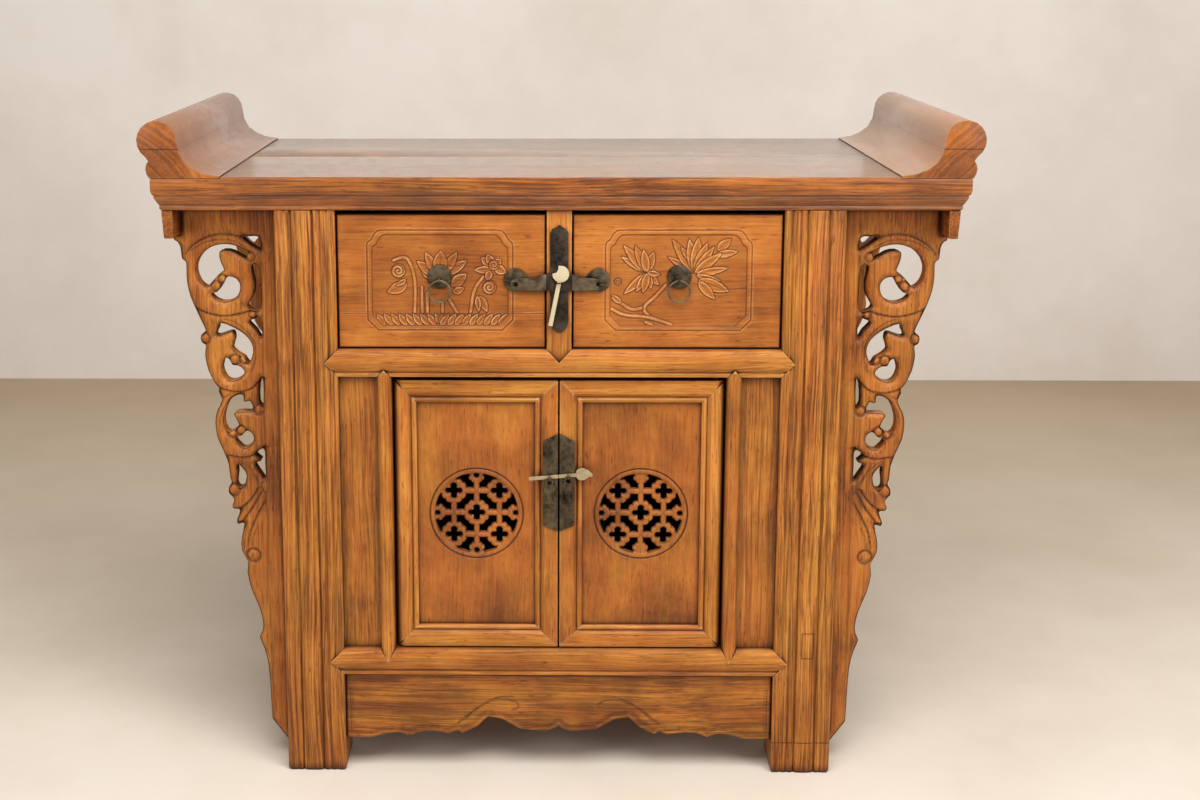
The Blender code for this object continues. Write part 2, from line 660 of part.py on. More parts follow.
# Drawers: a thick carved front with a box behind it
drawer_low = MID_RAIL_TOP + RUN
drawer_top = CASE_TOP - DRAWER_TOP_GAP
drawer_in = DIVIDER_HALF + DRAWER_GAP
drawer_out = LEG_IN - DRAWER_GAP
box_front = DRAWER_FACE + DRAWER_FRONT_T + FIT
box_back = guide_back - DRAWER_BACK_GAP
field_mid = (drawer_low + drawer_top) / 2
for label, side in (("left", -1), ("right", 1)):
    x0, x1 = sorted((side * drawer_in, side * drawer_out))
    middle = (x0 + x1) / 2
    origin = (middle, DRAWER_FACE, field_mid)
    front = box(x0, x1, DRAWER_FACE, DRAWER_FACE + DRAWER_FRONT_T, drawer_low, drawer_top)
    ob = wood("drawer_front_" + label, front, origin)
    a, b, c = FIELD_W, FIELD_H, FIELD_CUT
    field = [(-a, -b + c), (-a + c, -b), (a - c, -b), (a, -b + c)]
    field += [(a, b - c / 2), (a - c / 2, b), (-a + c / 2, b), (-a, b - c / 2)]
    field = [(middle + p, field_mid + FIELD_SHIFT + q) for p, q in field]
    cut(ob, "field", prism([field], "Y", DRAWER_FACE - FIELD_W, DRAWER_FACE + FIELD_D))
    x0, x1 = x0 + RUN, x1 - RUN
    side_top = drawer_low + DRAWER_SIDE_H
    tray = wood("drawer_box_" + label, box(x0, x1, box_front, box_back, drawer_low, side_top), origin)
    x0, x1 = x0 + DRAWER_WALL, x1 - DRAWER_WALL
    y0, y1 = box_front + DRAWER_WALL, box_back - DRAWER_WALL
    cut(tray, "inside", box(x0, x1, y0, y1, drawer_low + DRAWER_FLOOR, side_top + DRAWER_SIDE_H))

# Ring pulls: a plate with a staple, and a ring that swings in it
plate_back = DRAWER_FACE - FIT
plate_front = plate_back - PLATE_T
pull_back = plate_back + FIELD_D
pull_front = pull_back - PLATE_T
ring_y = pull_front - PULL_STAND
for label, side in (("left", -1), ("right", 1)):
    x = side * PULL_X
    pivot = (x, ring_y, PULL_Z - PULL_DROP)
    origin = (side * (drawer_in + drawer_out) / 2, DRAWER_FACE, field_mid)
    plate = metal("pull_plate_" + label, disc(x, pull_front, PULL_Z, PULL_PLATE_R, PLATE_T, "Y"), origin)
    loop = RING_WIRE + PIN_PLAY + STAPLE_R
    join(plate, "staple", staple("X", pivot, loop, pull_back - PLATE_SINK, STAPLE_R))
    path = [(a, ring_y, b) for a, b in circle(x, pivot[2] - RING_R, RING_R, 28)]
    metal("pull_ring_" + label, tube(path, RING_WIRE, True), pivot)

# Lock bar: a hasp on each drawer, the keeper strap on the divider and its peg
hasp_y = plate_front - HASP_STAND - HASP_T / 2
hasp_end = DIVIDER_HALF + KEEPER_END
for label, side, eye in (("left", -1, LEFT_EYE_X), ("right", 1, RIGHT_EYE_X)):
    origin = (side * (drawer_in + drawer_out) / 2, DRAWER_FACE, field_mid)
    eye_z = BAR_Z - (BAR_H - HASP_H) / 2
    axis_x = side * (eye + EYE_HOLE_R + EYE_RIM / 2)
    pivot = (axis_x, hasp_y, eye_z)
    round_plate = disc(side * eye, plate_front, eye_z + HASP_PLATE_UP, HASP_PLATE_R, PLATE_T, "Y")
    plate = metal("hasp_plate_" + label, round_plate, origin)
    loop = math.hypot(EYE_RIM, HASP_T) / 2 + PIN_PLAY + STAPLE_R
    join(plate, "staple", staple("Z", pivot, loop, plate_back - PLATE_SINK, STAPLE_R))
    rim = EYE_HOLE_R + EYE_RIM
    run = eye - hasp_end
    line = [(hasp_end, BAR_Z - BAR_H / 2), (hasp_end + 0.16 * run, BAR_Z - BAR_H / 2),
            (hasp_end + 0.22 * run, eye_z - HASP_H / 2), (eye - rim, eye_z - HASP_H * 0.47)]
    for k in range(9):
        turn = math.radians(20 * k - 80)
        line.append((eye + rim * math.cos(turn), eye_z + rim * math.sin(turn)))
    line += [(eye - rim, eye_z + HASP_H * 0.47), (hasp_end + 0.24 * run, eye_z + HASP_H / 2),
             (hasp_end + 0.16 * run, BAR_Z + BAR_H / 2), (hasp_end, BAR_Z + BAR_H / 2)]
    hole = circle(eye, eye_z, EYE_HOLE_R, 12)
    loops = [line, hole] if side > 0 else [mirrored(line), mirrored(hole)]
    metal("hasp_" + label, prism(loops, "Y", hasp_y - HASP_T / 2, hasp_y + HASP_T / 2), pivot)

strap_back = DIVIDER_FACE - FIT
strap_front = strap_back - STRAP_T
keeper_front = strap_front - KEEPER_T
tall = STRAP_TOP - STRAP_LOW
strap = []
for part, up in [(0.35, 0.012), (0.75, 0.04), (1.0, 0.10), (1.0, 0.93), (0.72, 0.965), (0.38, 0.975)]:
    strap.append((part * STRAP_HALF, STRAP_LOW + up * tall))
strap = [(0, STRAP_LOW)] + strap + [(0, STRAP_TOP)] + mirrored(strap)[::-1]
plate = metal("lock_strap", prism([strap], "Y", strap_front, strap_back))
low, high = BAR_Z - BAR_H / 2, BAR_Z + BAR_H / 2
keeper_back = strap_front + STRAP_T / 2
join(plate, "keeper", box(-DIVIDER_HALF, DIVIDER_HALF, keeper_front, keeper_back, low, high))
peg_y = keeper_front - PIN_PLAY - PEG_T / 2
loop_r = PEG_W * 0.62 + PIN_PLAY + STAPLE_R
join(plate, "staple", staple("Z", (0, peg_y, BAR_Z), loop_r, strap_front, STAPLE_R))
HEAD_RISE = 0.96
CURL = [(-0.46, 1.90), (-0.42, 1.42), (-0.55, 1.02), (-0.99, 0.80), (-0.86, 0.40), (-0.5, 0.08)]
peg = []
half = PEG_W / 2
peg_head = BAR_Z + STAPLE_R + PIN_PLAY
for k in range(11):
    turn = math.radians(-70 + 250 * k / 14)
    peg.append((PEG_HEAD_R * math.cos(turn), PEG_HEAD_R * (HEAD_RISE + math.sin(turn))))
peg += [(a * PEG_HEAD_R, b * PEG_HEAD_R) for a, b in CURL]
peg += [(-half, 0), (-half, -PEG_LONG), (half, -PEG_LONG), (half, 0)]
turned = rotated(peg, -PEG_TILT, 0.0, peg_head)
metal("lock_peg", prism([turned], "Y", peg_y - PEG_T / 2, peg_y + PEG_T / 2), (0, peg_y, BAR_Z), PALE)

# Doors: four mitred members around a pierced panel, the bead in parts of its width and the lip
BEAD_LINE = [(-0.69, 0.0), (-0.14, 0.375), (0.0, 0.535), (0.17, 0.265), (0.5, 0.145), (1.0, 0.425), (1.0, 1.0)]
half_t = DOOR_T / 2
groove = FRAME_W - BEAD_W
face_line = [(groove + a * BEAD_W, b * LIP_T) for a, b in BEAD_LINE] + [(groove, LIP_T), (groove, DOOR_T)]


def round_edge(y):
    return half_t - math.sqrt(max(half_t ** 2 - (y - half_t) ** 2, 0))


def member(name, line, corner, along, inward, length, hinge_start, origin):
    bm = prism([line], "Z", 0, length)
    bmesh.ops.triangulate(bm, faces=[face for face in bm.faces if len(face.verts) > 4])
    for vert in bm.verts:
        w, y, s = vert.co
        inset = max(w, round_edge(y)) if hinge_start and s == 0 else w
        s = inset + FIT / 2 if s == 0 else length - w - FIT / 2
        x = corner[0] + along[0] * s + inward[0] * w
        z = corner[1] + along[1] * s + inward[1] * w
        vert.co = (x, DOOR_FACE + y, z)
    return wood(name, bm, origin)


depths = [half_t + half_t * math.cos(math.pi * k / 8) for k in range(9)]
stile_line = [(round_edge(y), y) for y in depths] + face_line
rail_line = [(0, y) for y in depths] + [(half_t, 0.0)] + face_line
plain_line = [(0, DOOR_T), (0, 0.0)] + face_line
door_tall = DOOR_TOP - DOOR_LOW
door_wide = DOOR_OUT - DOOR_GAP
panel_mid = DOOR_GAP + door_wide / 2
panel_up = (DOOR_LOW + DOOR_TOP) / 2


def rounded_bar(x, z, long, half, turn):
    line = []
    for end in (1, -1):
        for k in range(4):
            a = -math.pi / 2 + math.pi * k / 3
            line.append((end * (long - half + half * math.cos(a)), end * half * math.sin(a)))
    return rotated(line, turn, x, z)


def cross(x, z):
    wide, end, near = CROSS_HALF, CROSS_HALF * 0.4, CROSS_LONG * 0.75
    arm = [(wide, -wide), (near, -wide), (CROSS_LONG, -end), (CROSS_LONG, end), (near, wide)]
    line = []
    for quarter in range(4):
        line += rotated(arm, quarter * math.pi / 2, x, z)
    return line


def medallion(x, z):
    holes = [cross(x, z)]
    for a in (-1, 1):
        for b in (-1, 1):
            holes.append(cross(x + a * MEDALLION_CELL, z + b * MEDALLION_CELL))
            lean = -a * b * math.pi / 4
            holes.append(rounded_bar(x + a * SLOT_IN, z + b * SLOT_IN, SLOT_LONG, SLOT_HALF, lean))
            holes.append(rounded_bar(x + a * SLOT_SIDE, z + b * SLOT_OUT, SLOT_SHORT, SLOT_HALF, -lean))
            holes.append(rounded_bar(x + a * SLOT_OUT, z + b * SLOT_SIDE, SLOT_SHORT, SLOT_HALF, -lean))
    for a, b in ((1, 0), (-1, 0), (0, 1), (0, -1)):
        holes.append(circle(x + a * DOT_OUT, z + b * DOT_OUT, DOT_R, 8))
    return holes


for label, side in (("left", -1), ("right", 1)):
    origin = (side * PIVOT_X, PIVOT_Y, panel_up)
    outer_low, outer_top = (side * DOOR_OUT, DOOR_LOW), (side * DOOR_OUT, DOOR_TOP)
    inner_low = (side * DOOR_GAP, DOOR_LOW)
    toward, away = (-side, 0), (side, 0)
    up, down = (0, 1), (0, -1)
    hinge_name, lock_name = "door_hinge_stile_" + label, "door_lock_stile_" + label
    top_name, low_name = "door_top_rail_" + label, "door_low_rail_" + label
    stile = member(hinge_name, stile_line, outer_low, up, toward, door_tall, False, origin)
    member(lock_name, plain_line, inner_low, up, away, door_tall, False, origin)
    top = member(top_name, rail_line, outer_top, toward, down, door_wide, True, origin)
    low = member(low_name, rail_line, outer_low, toward, up, door_wide, True, origin)
    x = side * PIVOT_X
    root = PIVOT_ROOT
    top_end = MID_RAIL_LOW + PIVOT_LONG
    low_end = BOTTOM_RAIL_TOP - PIVOT_LONG
    join(stile, "top_pivot", disc(x, PIVOT_Y, DOOR_TOP - root, PIVOT_R, top_end - DOOR_TOP + root, "Z", 16))
    join(stile, "low_pivot", disc(x, PIVOT_Y, low_end, PIVOT_R, DOOR_LOW - low_end + root, "Z", 16))
    bore = PIVOT_R + FIT
    cut(top, "pivot_bore", disc(x, PIVOT_Y, DOOR_TOP - 1.5 * root, bore, 2 * root, "Z", 16))
    cut(low, "pivot_bore", disc(x, PIVOT_Y, DOOR_LOW - 0.5 * root, bore, 2 * root, "Z", 16))
    a, b = sorted((side * (DOOR_GAP + groove + FIT), side * (DOOR_OUT - groove - FIT)))
    z0, z1 = DOOR_LOW + groove + FIT, DOOR_TOP - groove - FIT
    sheet = [(a, z0), (b, z0), (b, z1), (a, z1)]
    front = DOOR_FACE + LIP_T + FIT
    loops = [sheet] + medallion(side * panel_mid, panel_up)
    wood("door_panel_" + label, prism(loops, "Y", front, front + DOOR_PANEL_T), origin)

# Lock plates on the meeting stiles, their staples, the hanging drops and the two halves of the lock pin
door_plate_back = DOOR_FACE - FIT
door_plate_front = door_plate_back - PLATE_T
drop_gap = math.hypot(DROP_RIM, DROP_T) / 2 + PIN_PLAY
drop_y = door_plate_front - PIN_PLAY - PIN_T - drop_gap
loop_r = PIN_H / 2 + 2 * PIN_PLAY + STAPLE_R
slope = math.tan(PIN_TILT)
DROP_LINE = [(-1.0, 0.30), (-0.95, 0.42), (-0.60, 0.56), (-0.38, 0.68), (-0.55, 0.80), (-0.95, 0.90),
             (-0.45, 0.92), (0.0, 1.0), (0.45, 0.92), (0.95, 0.90), (0.55, 0.80), (0.38, 0.68), (0.60, 0.56),
             (0.95, 0.42), (1.0, 0.30)]
for label, side in (("left", -1), ("right", 1)):
    origin = (side * PIVOT_X, PIVOT_Y, panel_up)
    near, far = DOOR_GAP, DOOR_PLATE_HALF
    high, low = PIN_Z + DOOR_PLATE_UP, PIN_Z - DOOR_PLATE_DOWN
    peak = DOOR_PLATE_POINT
    line = [(near, low), (far, low + 0.8 * peak), (far, high - peak), (0.62 * far, high - 0.62 * peak),
            (0.36 * far, high - 0.32 * peak), (near, high)]
    line = line if side > 0 else mirrored(line)
    plate = metal("door_plate_" + label, prism([line], "Y", door_plate_front, door_plate_back), origin)
    x = side * DOOR_STAPLE_X
    z = PIN_Z + x * slope
    join(plate, "staple", staple("X", (x, drop_y, z), loop_r, door_plate_back - PLATE_SINK, STAPLE_R))
    rim = DROP_HOLE_R + DROP_RIM
    z = z - loop_r + STAPLE_R + FIT + DROP_RIM / 2
    eye_z = z - DROP_HOLE_R - DROP_RIM / 2
    line = []
    for k in range(9):
        turn = math.radians(-30 + 30 * k)
        line.append((rim * math.cos(turn), eye_z + rim * math.sin(turn)))
    for across, down in DROP_LINE:
        line.append((across * DROP_HALF, z - down * DROP_LONG))
    loops = [[(x + a, b) for a, b in line], circle(x, eye_z, DROP_HOLE_R, 12)]
    metal("door_drop_" + label, prism(loops, "Y", drop_y - DROP_T / 2, drop_y + DROP_T / 2), (x, drop_y, z))


def pin_part(name, line):
    y0 = door_plate_front - PIN_PLAY - PIN_T
    turned = rotated(line, PIN_TILT, 0.0, PIN_Z)
    metal(name, prism([turned], "Y", y0, y0 + PIN_T), (0, y0 + PIN_T / 2, PIN_Z), PALE)


HEAD = [(0.05, -1.15), (0.25, -1.65), (0.5, -1.5), (0.78, -0.75), (1.0, -0.85), (0.95, 0.05), (0.72, 1.1),
        (0.42, 1.75), (0.15, 1.6), (0.0, 1.0)]
half = PIN_H / 2
end, near_end = -PIN_TAIL, -0.96 * PIN_TAIL
pin_part("lock_pin_tail", [(-FIT, -half), (-FIT, half), (near_end, half), (end, 0.6 * half),
                           (end, -0.6 * half), (near_end, -half)])
head = [(PIN_NECK + part * PIN_HEAD_LONG, up * PIN_H) for part, up in HEAD]
pin_part("lock_pin_head", [(FIT, half), (FIT, -half), (PIN_NECK, -half)] + head + [(PIN_NECK, half)])
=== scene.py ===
import math

import bmesh
import bpy
import numpy as np
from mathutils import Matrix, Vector
from mathutils.kdtree import KDTree


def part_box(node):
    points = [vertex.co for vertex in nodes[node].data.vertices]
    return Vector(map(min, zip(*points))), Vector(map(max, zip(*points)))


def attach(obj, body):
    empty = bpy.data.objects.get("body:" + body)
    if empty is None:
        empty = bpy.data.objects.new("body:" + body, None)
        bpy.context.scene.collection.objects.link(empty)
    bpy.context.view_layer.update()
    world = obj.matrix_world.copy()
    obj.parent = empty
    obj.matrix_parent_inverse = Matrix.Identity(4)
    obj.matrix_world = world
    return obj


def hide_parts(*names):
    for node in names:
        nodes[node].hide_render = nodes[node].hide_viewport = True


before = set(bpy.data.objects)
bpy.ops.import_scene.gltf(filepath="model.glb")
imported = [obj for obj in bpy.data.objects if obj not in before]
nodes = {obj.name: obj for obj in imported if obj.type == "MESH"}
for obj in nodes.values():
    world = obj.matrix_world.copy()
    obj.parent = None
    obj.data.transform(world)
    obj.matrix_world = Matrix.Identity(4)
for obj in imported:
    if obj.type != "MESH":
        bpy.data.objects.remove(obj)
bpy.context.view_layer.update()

# Viewpoint: a lens a little above the cabinet's top, so that the front is seen almost square on. It
# is shifted down and sideways, which keeps the upright lines nearly upright.
lens = bpy.data.cameras.new("viewpoint")
lens.lens = 51.2
lens.sensor_width = 36.0
lens.shift_x = 0.07
lens.shift_y = -0.10
viewpoint = bpy.data.objects.new("viewpoint", lens)
viewpoint.location = (-0.017, -2.436, 1.104)
viewpoint.rotation_euler = (math.radians(79.45), math.radians(0.13), math.radians(1.01))
bpy.context.scene.collection.objects.link(viewpoint)
bpy.context.scene.camera = viewpoint
bpy.context.scene.view_settings.view_transform = "Standard"


# Room: a pale floor that runs back to a plain wall, both painted boards. Broad lamps overhead and at
# the sides give a soft, even light.
WALL_AT = 2.03
ROOM_HALF = 6.0
FLOOR_NEAR = (0.82, 0.745, 0.645)
FLOOR_FAR = (0.52, 0.41, 0.28)
WALL_PAINT = (0.89, 0.825, 0.765)
STAIN = (0.80, 0.76, 0.70)
FADE_FROM = -0.6
FADE_TO = 1.9
AIR_LIGHT = (1.0, 0.97, 0.93, 1)


class Wire:
    """One shader socket, which can be used in sums and as the input of further nodes."""

    def __init__(self, tree, socket=None):
        self.tree = tree
        self.socket = socket

    def node(self, kind, settings, inputs, output=0):
        made = self.tree.nodes.new(kind)
        for key, value in settings.items():
            if key == "stops":
                while len(made.color_ramp.elements) < len(value):
                    made.color_ramp.elements.new(0.5)
                for stop, (place, colour) in zip(made.color_ramp.elements, value):
                    stop.position = place
                    stop.color = (*colour, 1.0)
            else:
                setattr(made, key, value)
        for key, value in inputs.items():
            if isinstance(value, Wire):
                self.tree.links.new(value.socket, made.inputs[key])
            else:
                made.inputs[key].default_value = value
        return Wire(self.tree, made.outputs[output] if made.outputs else None)

    def math(self, operation, first, second):
        return self.node("ShaderNodeMath", {"operation": operation}, {0: first, 1: second})

    def __add__(self, other):
        return self.math("ADD", self, other)

    def __sub__(self, other):
        return self.math("SUBTRACT", self, other)

    def __mul__(self, other):
        return self.math("MULTIPLY", self, other)

    def __radd__(self, other):
        return self.math("ADD", other, self)

    def __rsub__(self, other):
        return self.math("SUBTRACT", other, self)

    def __rmul__(self, other):
        return self.math("MULTIPLY", other, self)


def start(name):
    finish = bpy.data.materials.new(name)
    finish.use_nodes = True
    finish.node_tree.nodes.clear()
    return finish, Wire(finish.node_tree)


def axis(vector, index):
    return vector.node("ShaderNodeSeparateXYZ", {}, {0: vector}, index)


def noise(vector, scale, detail, rough=0.55, output="Fac"):
    return vector.node("ShaderNodeTexNoise", {}, {"Vector": vector, "Scale": scale, "Detail": detail,
                                                  "Roughness": rough}, output)


def ease(value, low, high, bottom=0.0, top=1.0):
    """Runs from bottom to top while the value goes from low to high."""
    return value.node("ShaderNodeMapRange", {}, {0: value, 1: low, 2: high, 3: bottom, 4: top})


def blend(factor, first, second, kind="MIX"):
    """A colour on the way from the first to the second, each a plain colour or a socket."""
    ends = [end if isinstance(end, Wire) else (*end, 1) for end in (first, second)]
    return factor.node("ShaderNodeMix", {"data_type": "RGBA", "blend_type": kind},
                       {0: factor, 6: ends[0], 7: ends[1]}, 2)


def painted(name, corners, near, far, first, last):
    """A flat board whose paint goes from the near to the far colour between two depths. From behind
    it can be seen through."""
    bm = bmesh.new()
    bm.faces.new([bm.verts.new(corner) for corner in corners])
    mesh = bpy.data.meshes.new(name)
    bm.to_mesh(mesh)
    bm.free()
    board = bpy.data.objects.new(name, mesh)
    bpy.context.scene.collection.objects.link(board)
    finish, wire = start(name)
    place = wire.node("ShaderNodeTexCoord", {}, {}, "Object")
    colour = blend(ease(axis(place, 1), first, last), near, far)
    cloud = noise(place, scale=2.2, detail=8.0, rough=0.62)
    colour = blend(ease(cloud, 0.40, 0.72, top=0.55), colour, STAIN, "MULTIPLY")
    paint = wire.node("ShaderNodeBsdfPrincipled", {}, {"Base Color": colour, "Roughness": 0.9})
    behind = wire.node("ShaderNodeNewGeometry", {}, {}, "Backfacing")
    clear = wire.node("ShaderNodeBsdfTransparent", {}, {})
    paint = wire.node("ShaderNodeMixShader", {}, {0: behind, 1: paint, 2: clear})
    wire.node("ShaderNodeOutputMaterial", {}, {"Surface": paint})
    mesh.materials.append(finish)


painted("floor", [(-ROOM_HALF, -ROOM_HALF, 0), (ROOM_HALF, -ROOM_HALF, 0), (ROOM_HALF, ROOM_HALF, 0),
                  (-ROOM_HALF, ROOM_HALF, 0)], FLOOR_NEAR, FLOOR_FAR, FADE_FROM, FADE_TO)
painted("wall", [(-ROOM_HALF, WALL_AT, 0), (ROOM_HALF, WALL_AT, 0), (ROOM_HALF, WALL_AT, ROOM_HALF),
                 (-ROOM_HALF, WALL_AT, ROOM_HALF)], WALL_PAINT, WALL_PAINT, FADE_FROM, FADE_TO)


def lamp(name, place, aim, wide, tall, power):
    light = bpy.data.lights.new(name, "AREA")
    light.shape = "RECTANGLE"
    light.size = wide
    light.size_y = tall
    light.energy = power
    stand = bpy.data.objects.new(name, light)
    stand.location = place
    stand.rotation_euler = (Vector(aim) - Vector(place)).to_track_quat("-Z", "Y").to_euler()
    stand.visible_camera = False
    bpy.context.scene.collection.objects.link(stand)


lamp("overhead", place=(0.3, -1.6, 2.9), aim=(0, 0.2, 0.3), wide=2.4, tall=1.8, power=103)
lamp("left_fill", place=(-2.4, -2.4, 1.7), aim=(0, 0, 0.5), wide=1.4, tall=1.4, power=23)
lamp("right_fill", place=(2.4, -2.4, 1.7), aim=(0, 0, 0.5), wide=1.4, tall=1.4, power=31)
room_light = bpy.data.worlds.new("room_light")
room_light.use_nodes = True
room_light.node_tree.nodes.clear()
sky = Wire(room_light.node_tree)
soft = sky.node("ShaderNodeBackground", {}, {"Color": AIR_LIGHT, "Strength": 0.22})
sky.node("ShaderNodeOutputWorld", {}, {"Surface": soft})
bpy.context.scene.world = room_light


# Top: three long boards with a moulded edge, a rolled flange on each end and a batten under it.
# Worn reddish hardwood, polished by use and with a pale sheen painted into its colour where it faces
# up, the boards edge to edge and the flanges let in.
GOLDEN_WOOD = [(0.20, (0.19, 0.064, 0.007)), (0.50, (0.43, 0.158, 0.018)), (0.80, (0.62, 0.270, 0.044))]
RUSSET_WOOD = [(0.20, (0.14, 0.036, 0.005)), (0.50, (0.38, 0.108, 0.013)), (0.80, (0.55, 0.190, 0.030))]
# The colour of the painted shade and grime that darken nooks, creases and carved grooves.
SHADE_AND_GRIME = (0.13, 0.075, 0.045)
DARK_VEIN = (0.38, 0.27, 0.20)
# The colour of worn edges and of the highlights painted along them.
RUBBED_AND_GLINT = (0.80, 0.50, 0.22)
SEED_STEP = (0.37, 0.53, 0.71)
NOOK_REACH = 0.016
RIDGE_REACH = 0.004
SEAM_EDGE = 0.0011
SEAM_CORE = 0.0004
SHARP_ANGLE = math.radians(32)
WORN_ANGLE = math.radians(35)
GREY_PAINTED_SHEEN = (0.42, (0.30, 0.26, 0.21), 0.80, 0.97)
# Each flange gets its own painted sheen, the right one lighter than the left: painted light, not a
# difference in the wood.
WARM_PAINTED_SHEEN = {"left": (1.0, (0.25, 0.085, 0.025), 0.3, 0.8),
               "right": (1.0, (0.40, 0.20, 0.10), 0.3, 0.8)}


def absolute(value):
    return value.math("ABSOLUTE", value, 0.0)


def larger(first, second):
    return first.math("MAXIMUM", first, second)


def vector_math(operation, vector, other=(0, 0, 0), output=0):
    return vector.node("ShaderNodeVectorMath", {"operation": operation}, {0: vector, 1: other}, output)


def timber(name, along, seed, light=1.0, gloss=0.15, marks=(), red=0.0, streaky=0.6, painted_sheen=GREY_PAINTED_SHEEN,
           heart=None):
    """Old hardwood with its grain along one axis, polished where it faces up, where a pale sheen is also
    painted into its colour. Each mark is the outline of a let-in piece: the middle's x and z, half its
    width and half its height. The heart is where the growth rings of an end have their middle, and
    such a piece is polished and given the painted sheen except on its ends."""
    finish, wire = start(name)
    spot = wire.node("ShaderNodeTexCoord", {}, {}, "Object")
    moved = vector_math("ADD", spot, [seed * step for step in SEED_STEP])
    sway = noise(moved, scale=2.6, detail=2.0, output="Color")
    bent = wire.node("ShaderNodeVectorMath", {"operation": "MULTIPLY_ADD"},
                     {0: sway, 1: (0.035 - 0.018 * streaky,) * 3, 2: moved})

    def stretched(amount):
        return vector_math("MULTIPLY", bent, [amount if way == along else 1.0 for way in "XYZ"])

    figure = noise(stretched(0.05), scale=60.0, detail=5.0, rough=0.6)
    streak = noise(stretched(0.012), scale=420.0, detail=4.0, rough=0.7)
    dash = noise(stretched(0.11), scale=300.0, detail=3.0, rough=0.65)
    vein = ease(noise(stretched(0.008), scale=420.0, detail=2.0), 0.58, 0.68)
    pore = ease(noise(stretched(0.03), scale=900.0, detail=1.0), 0.60, 0.72)
    fleck = ease(noise(stretched(0.16), scale=330.0, detail=1.0), 0.67, 0.73)
    patch = noise(moved, scale=9.0, detail=5.0, rough=0.6)
    cloud = noise(stretched(0.4 - 0.35 * streaky), scale=16.0 + 30.0 * streaky, detail=6.0, rough=0.65)
    hue = ease(cloud, 0.38 - red, 0.62 - red)
    wear = noise(moved, scale=55.0, detail=5.0, rough=0.7)
    nook = wire.node("ShaderNodeAmbientOcclusion", {"samples": 8}, {"Distance": NOOK_REACH}, "AO")
    ridge = wire.node("ShaderNodeAmbientOcclusion", {"samples": 8, "inside": True, "only_local": True},
                      {"Distance": RIDGE_REACH}, "AO")
    # Marks from the carved pieces: above zero, painted shade with grime in grooves and under overlaps; below
    # zero, painted highlights along raised rims.
    carve = wire.node("ShaderNodeAttribute", {"attribute_name": "carve"}, {}, "Fac")
    normal = wire.node("ShaderNodeTexCoord", {}, {}, "Normal")
    facing = axis(normal, 2)
    turned = axis(normal, 1)
    # Darker in nooks, creases and between parts from the occlusion, and along carved grooves: painted shade
    # together with grime. The let-in seams add dark joints.
    shade_and_grime = larger(ease(nook, 0.93, 0.38, 0.0, 0.97), carve)
    for x, z, half_x, half_z in marks:
        across = absolute(axis(spot, 0) - x) - half_x
        up = absolute(axis(spot, 2) - z) - half_z
        seam = ease(absolute(larger(across, up)), SEAM_EDGE, SEAM_CORE, 0.0, 0.8)
        shade_and_grime = larger(shade_and_grime, seam * ease(turned, -0.8, -0.4, 1.0, 0.25))
    # Convex edges are lighter: partly wear, partly painted highlights along the arrises. Negative marks from
    # the carved pieces add painted highlights along carved rims.
    rub = larger(ease(ridge, 0.80, 0.45, 0.0, 0.55), ease(carve, 0.0, -1.0))
    rub = rub * ease(wear, 0.40, 0.58, 0.15, 1.05 - 0.7 * gloss)
    grain = (figure - 0.5) * 0.7 + (streak - 0.5) * 2.0
    tone = grain * streaky + (dash - 0.5) * (0.2 + 0.25 * streaky)
    tone = tone + (patch - 0.5) * (1.3 - 0.7 * streaky) + (light - 0.5)
    if heart:
        away = vector_math("SUBTRACT", vector_math("ABSOLUTE", spot), heart)
        away = vector_math("LENGTH", vector_math("MULTIPLY", away, (1, 0, 1)), output="Value")
        ring = wire.node("ShaderNodeTexNoise", {"noise_dimensions": "1D"},
                         {"W": away + patch * 0.03, "Scale": 170.0, "Detail": 3.0, "Roughness": 0.6})
        tone = tone + (ring - 0.5) * 0.55
        facing = 1.0 - absolute(turned)
    golden = wire.node("ShaderNodeValToRGB", {"stops": GOLDEN_WOOD}, {0: tone}, "Color")
    russet = wire.node("ShaderNodeValToRGB", {"stops": RUSSET_WOOD}, {0: tone}, "Color")
    lines = pore * 0.35 + vein * (0.75 * streaky) + fleck * 0.6
    body = blend(lines, blend(hue, golden, russet), DARK_VEIN, "MULTIPLY")
    body = blend(rub, body, RUBBED_AND_GLINT)
    # A pale sheen painted into the colour where the piece faces up, standing in for the reflection of the
    # room.
    amount, sheen_colour, first, last = painted_sheen
    body = blend(ease(facing, first, last, 0.0, amount * gloss), body, sheen_colour)
    body = blend(shade_and_grime, body, SHADE_AND_GRIME, "MULTIPLY")
    rough = ease(wear + shade_and_grime * 0.3, 0.3, 0.9, 0.44 - 0.14 * gloss, 0.70 - 0.10 * gloss)
    height = streak * 0.6 + figure * 0.3 + wear * 0.3 - pore * 0.5 - vein * 0.5
    bump = wire.node("ShaderNodeBump", {}, {"Strength": 0.3 - 0.24 * gloss, "Distance": 0.0007,
                                            "Height": height})
    coat = ease(facing, first, last, 0.05 * gloss, gloss) * ease(wear + shade_and_grime * 0.6, 0.80, 0.45, 0.4)
    paint = wire.node("ShaderNodeBsdfPrincipled", {},
                      {"Base Color": body, "Roughness": rough, "Normal": bump, "Coat Weight": coat,
                       "Coat Roughness": 0.19, "Specular IOR Level": 0.3 + 0.25 * gloss})
    wire.node("ShaderNodeOutputMaterial", {}, {"Surface": paint})
    return finish


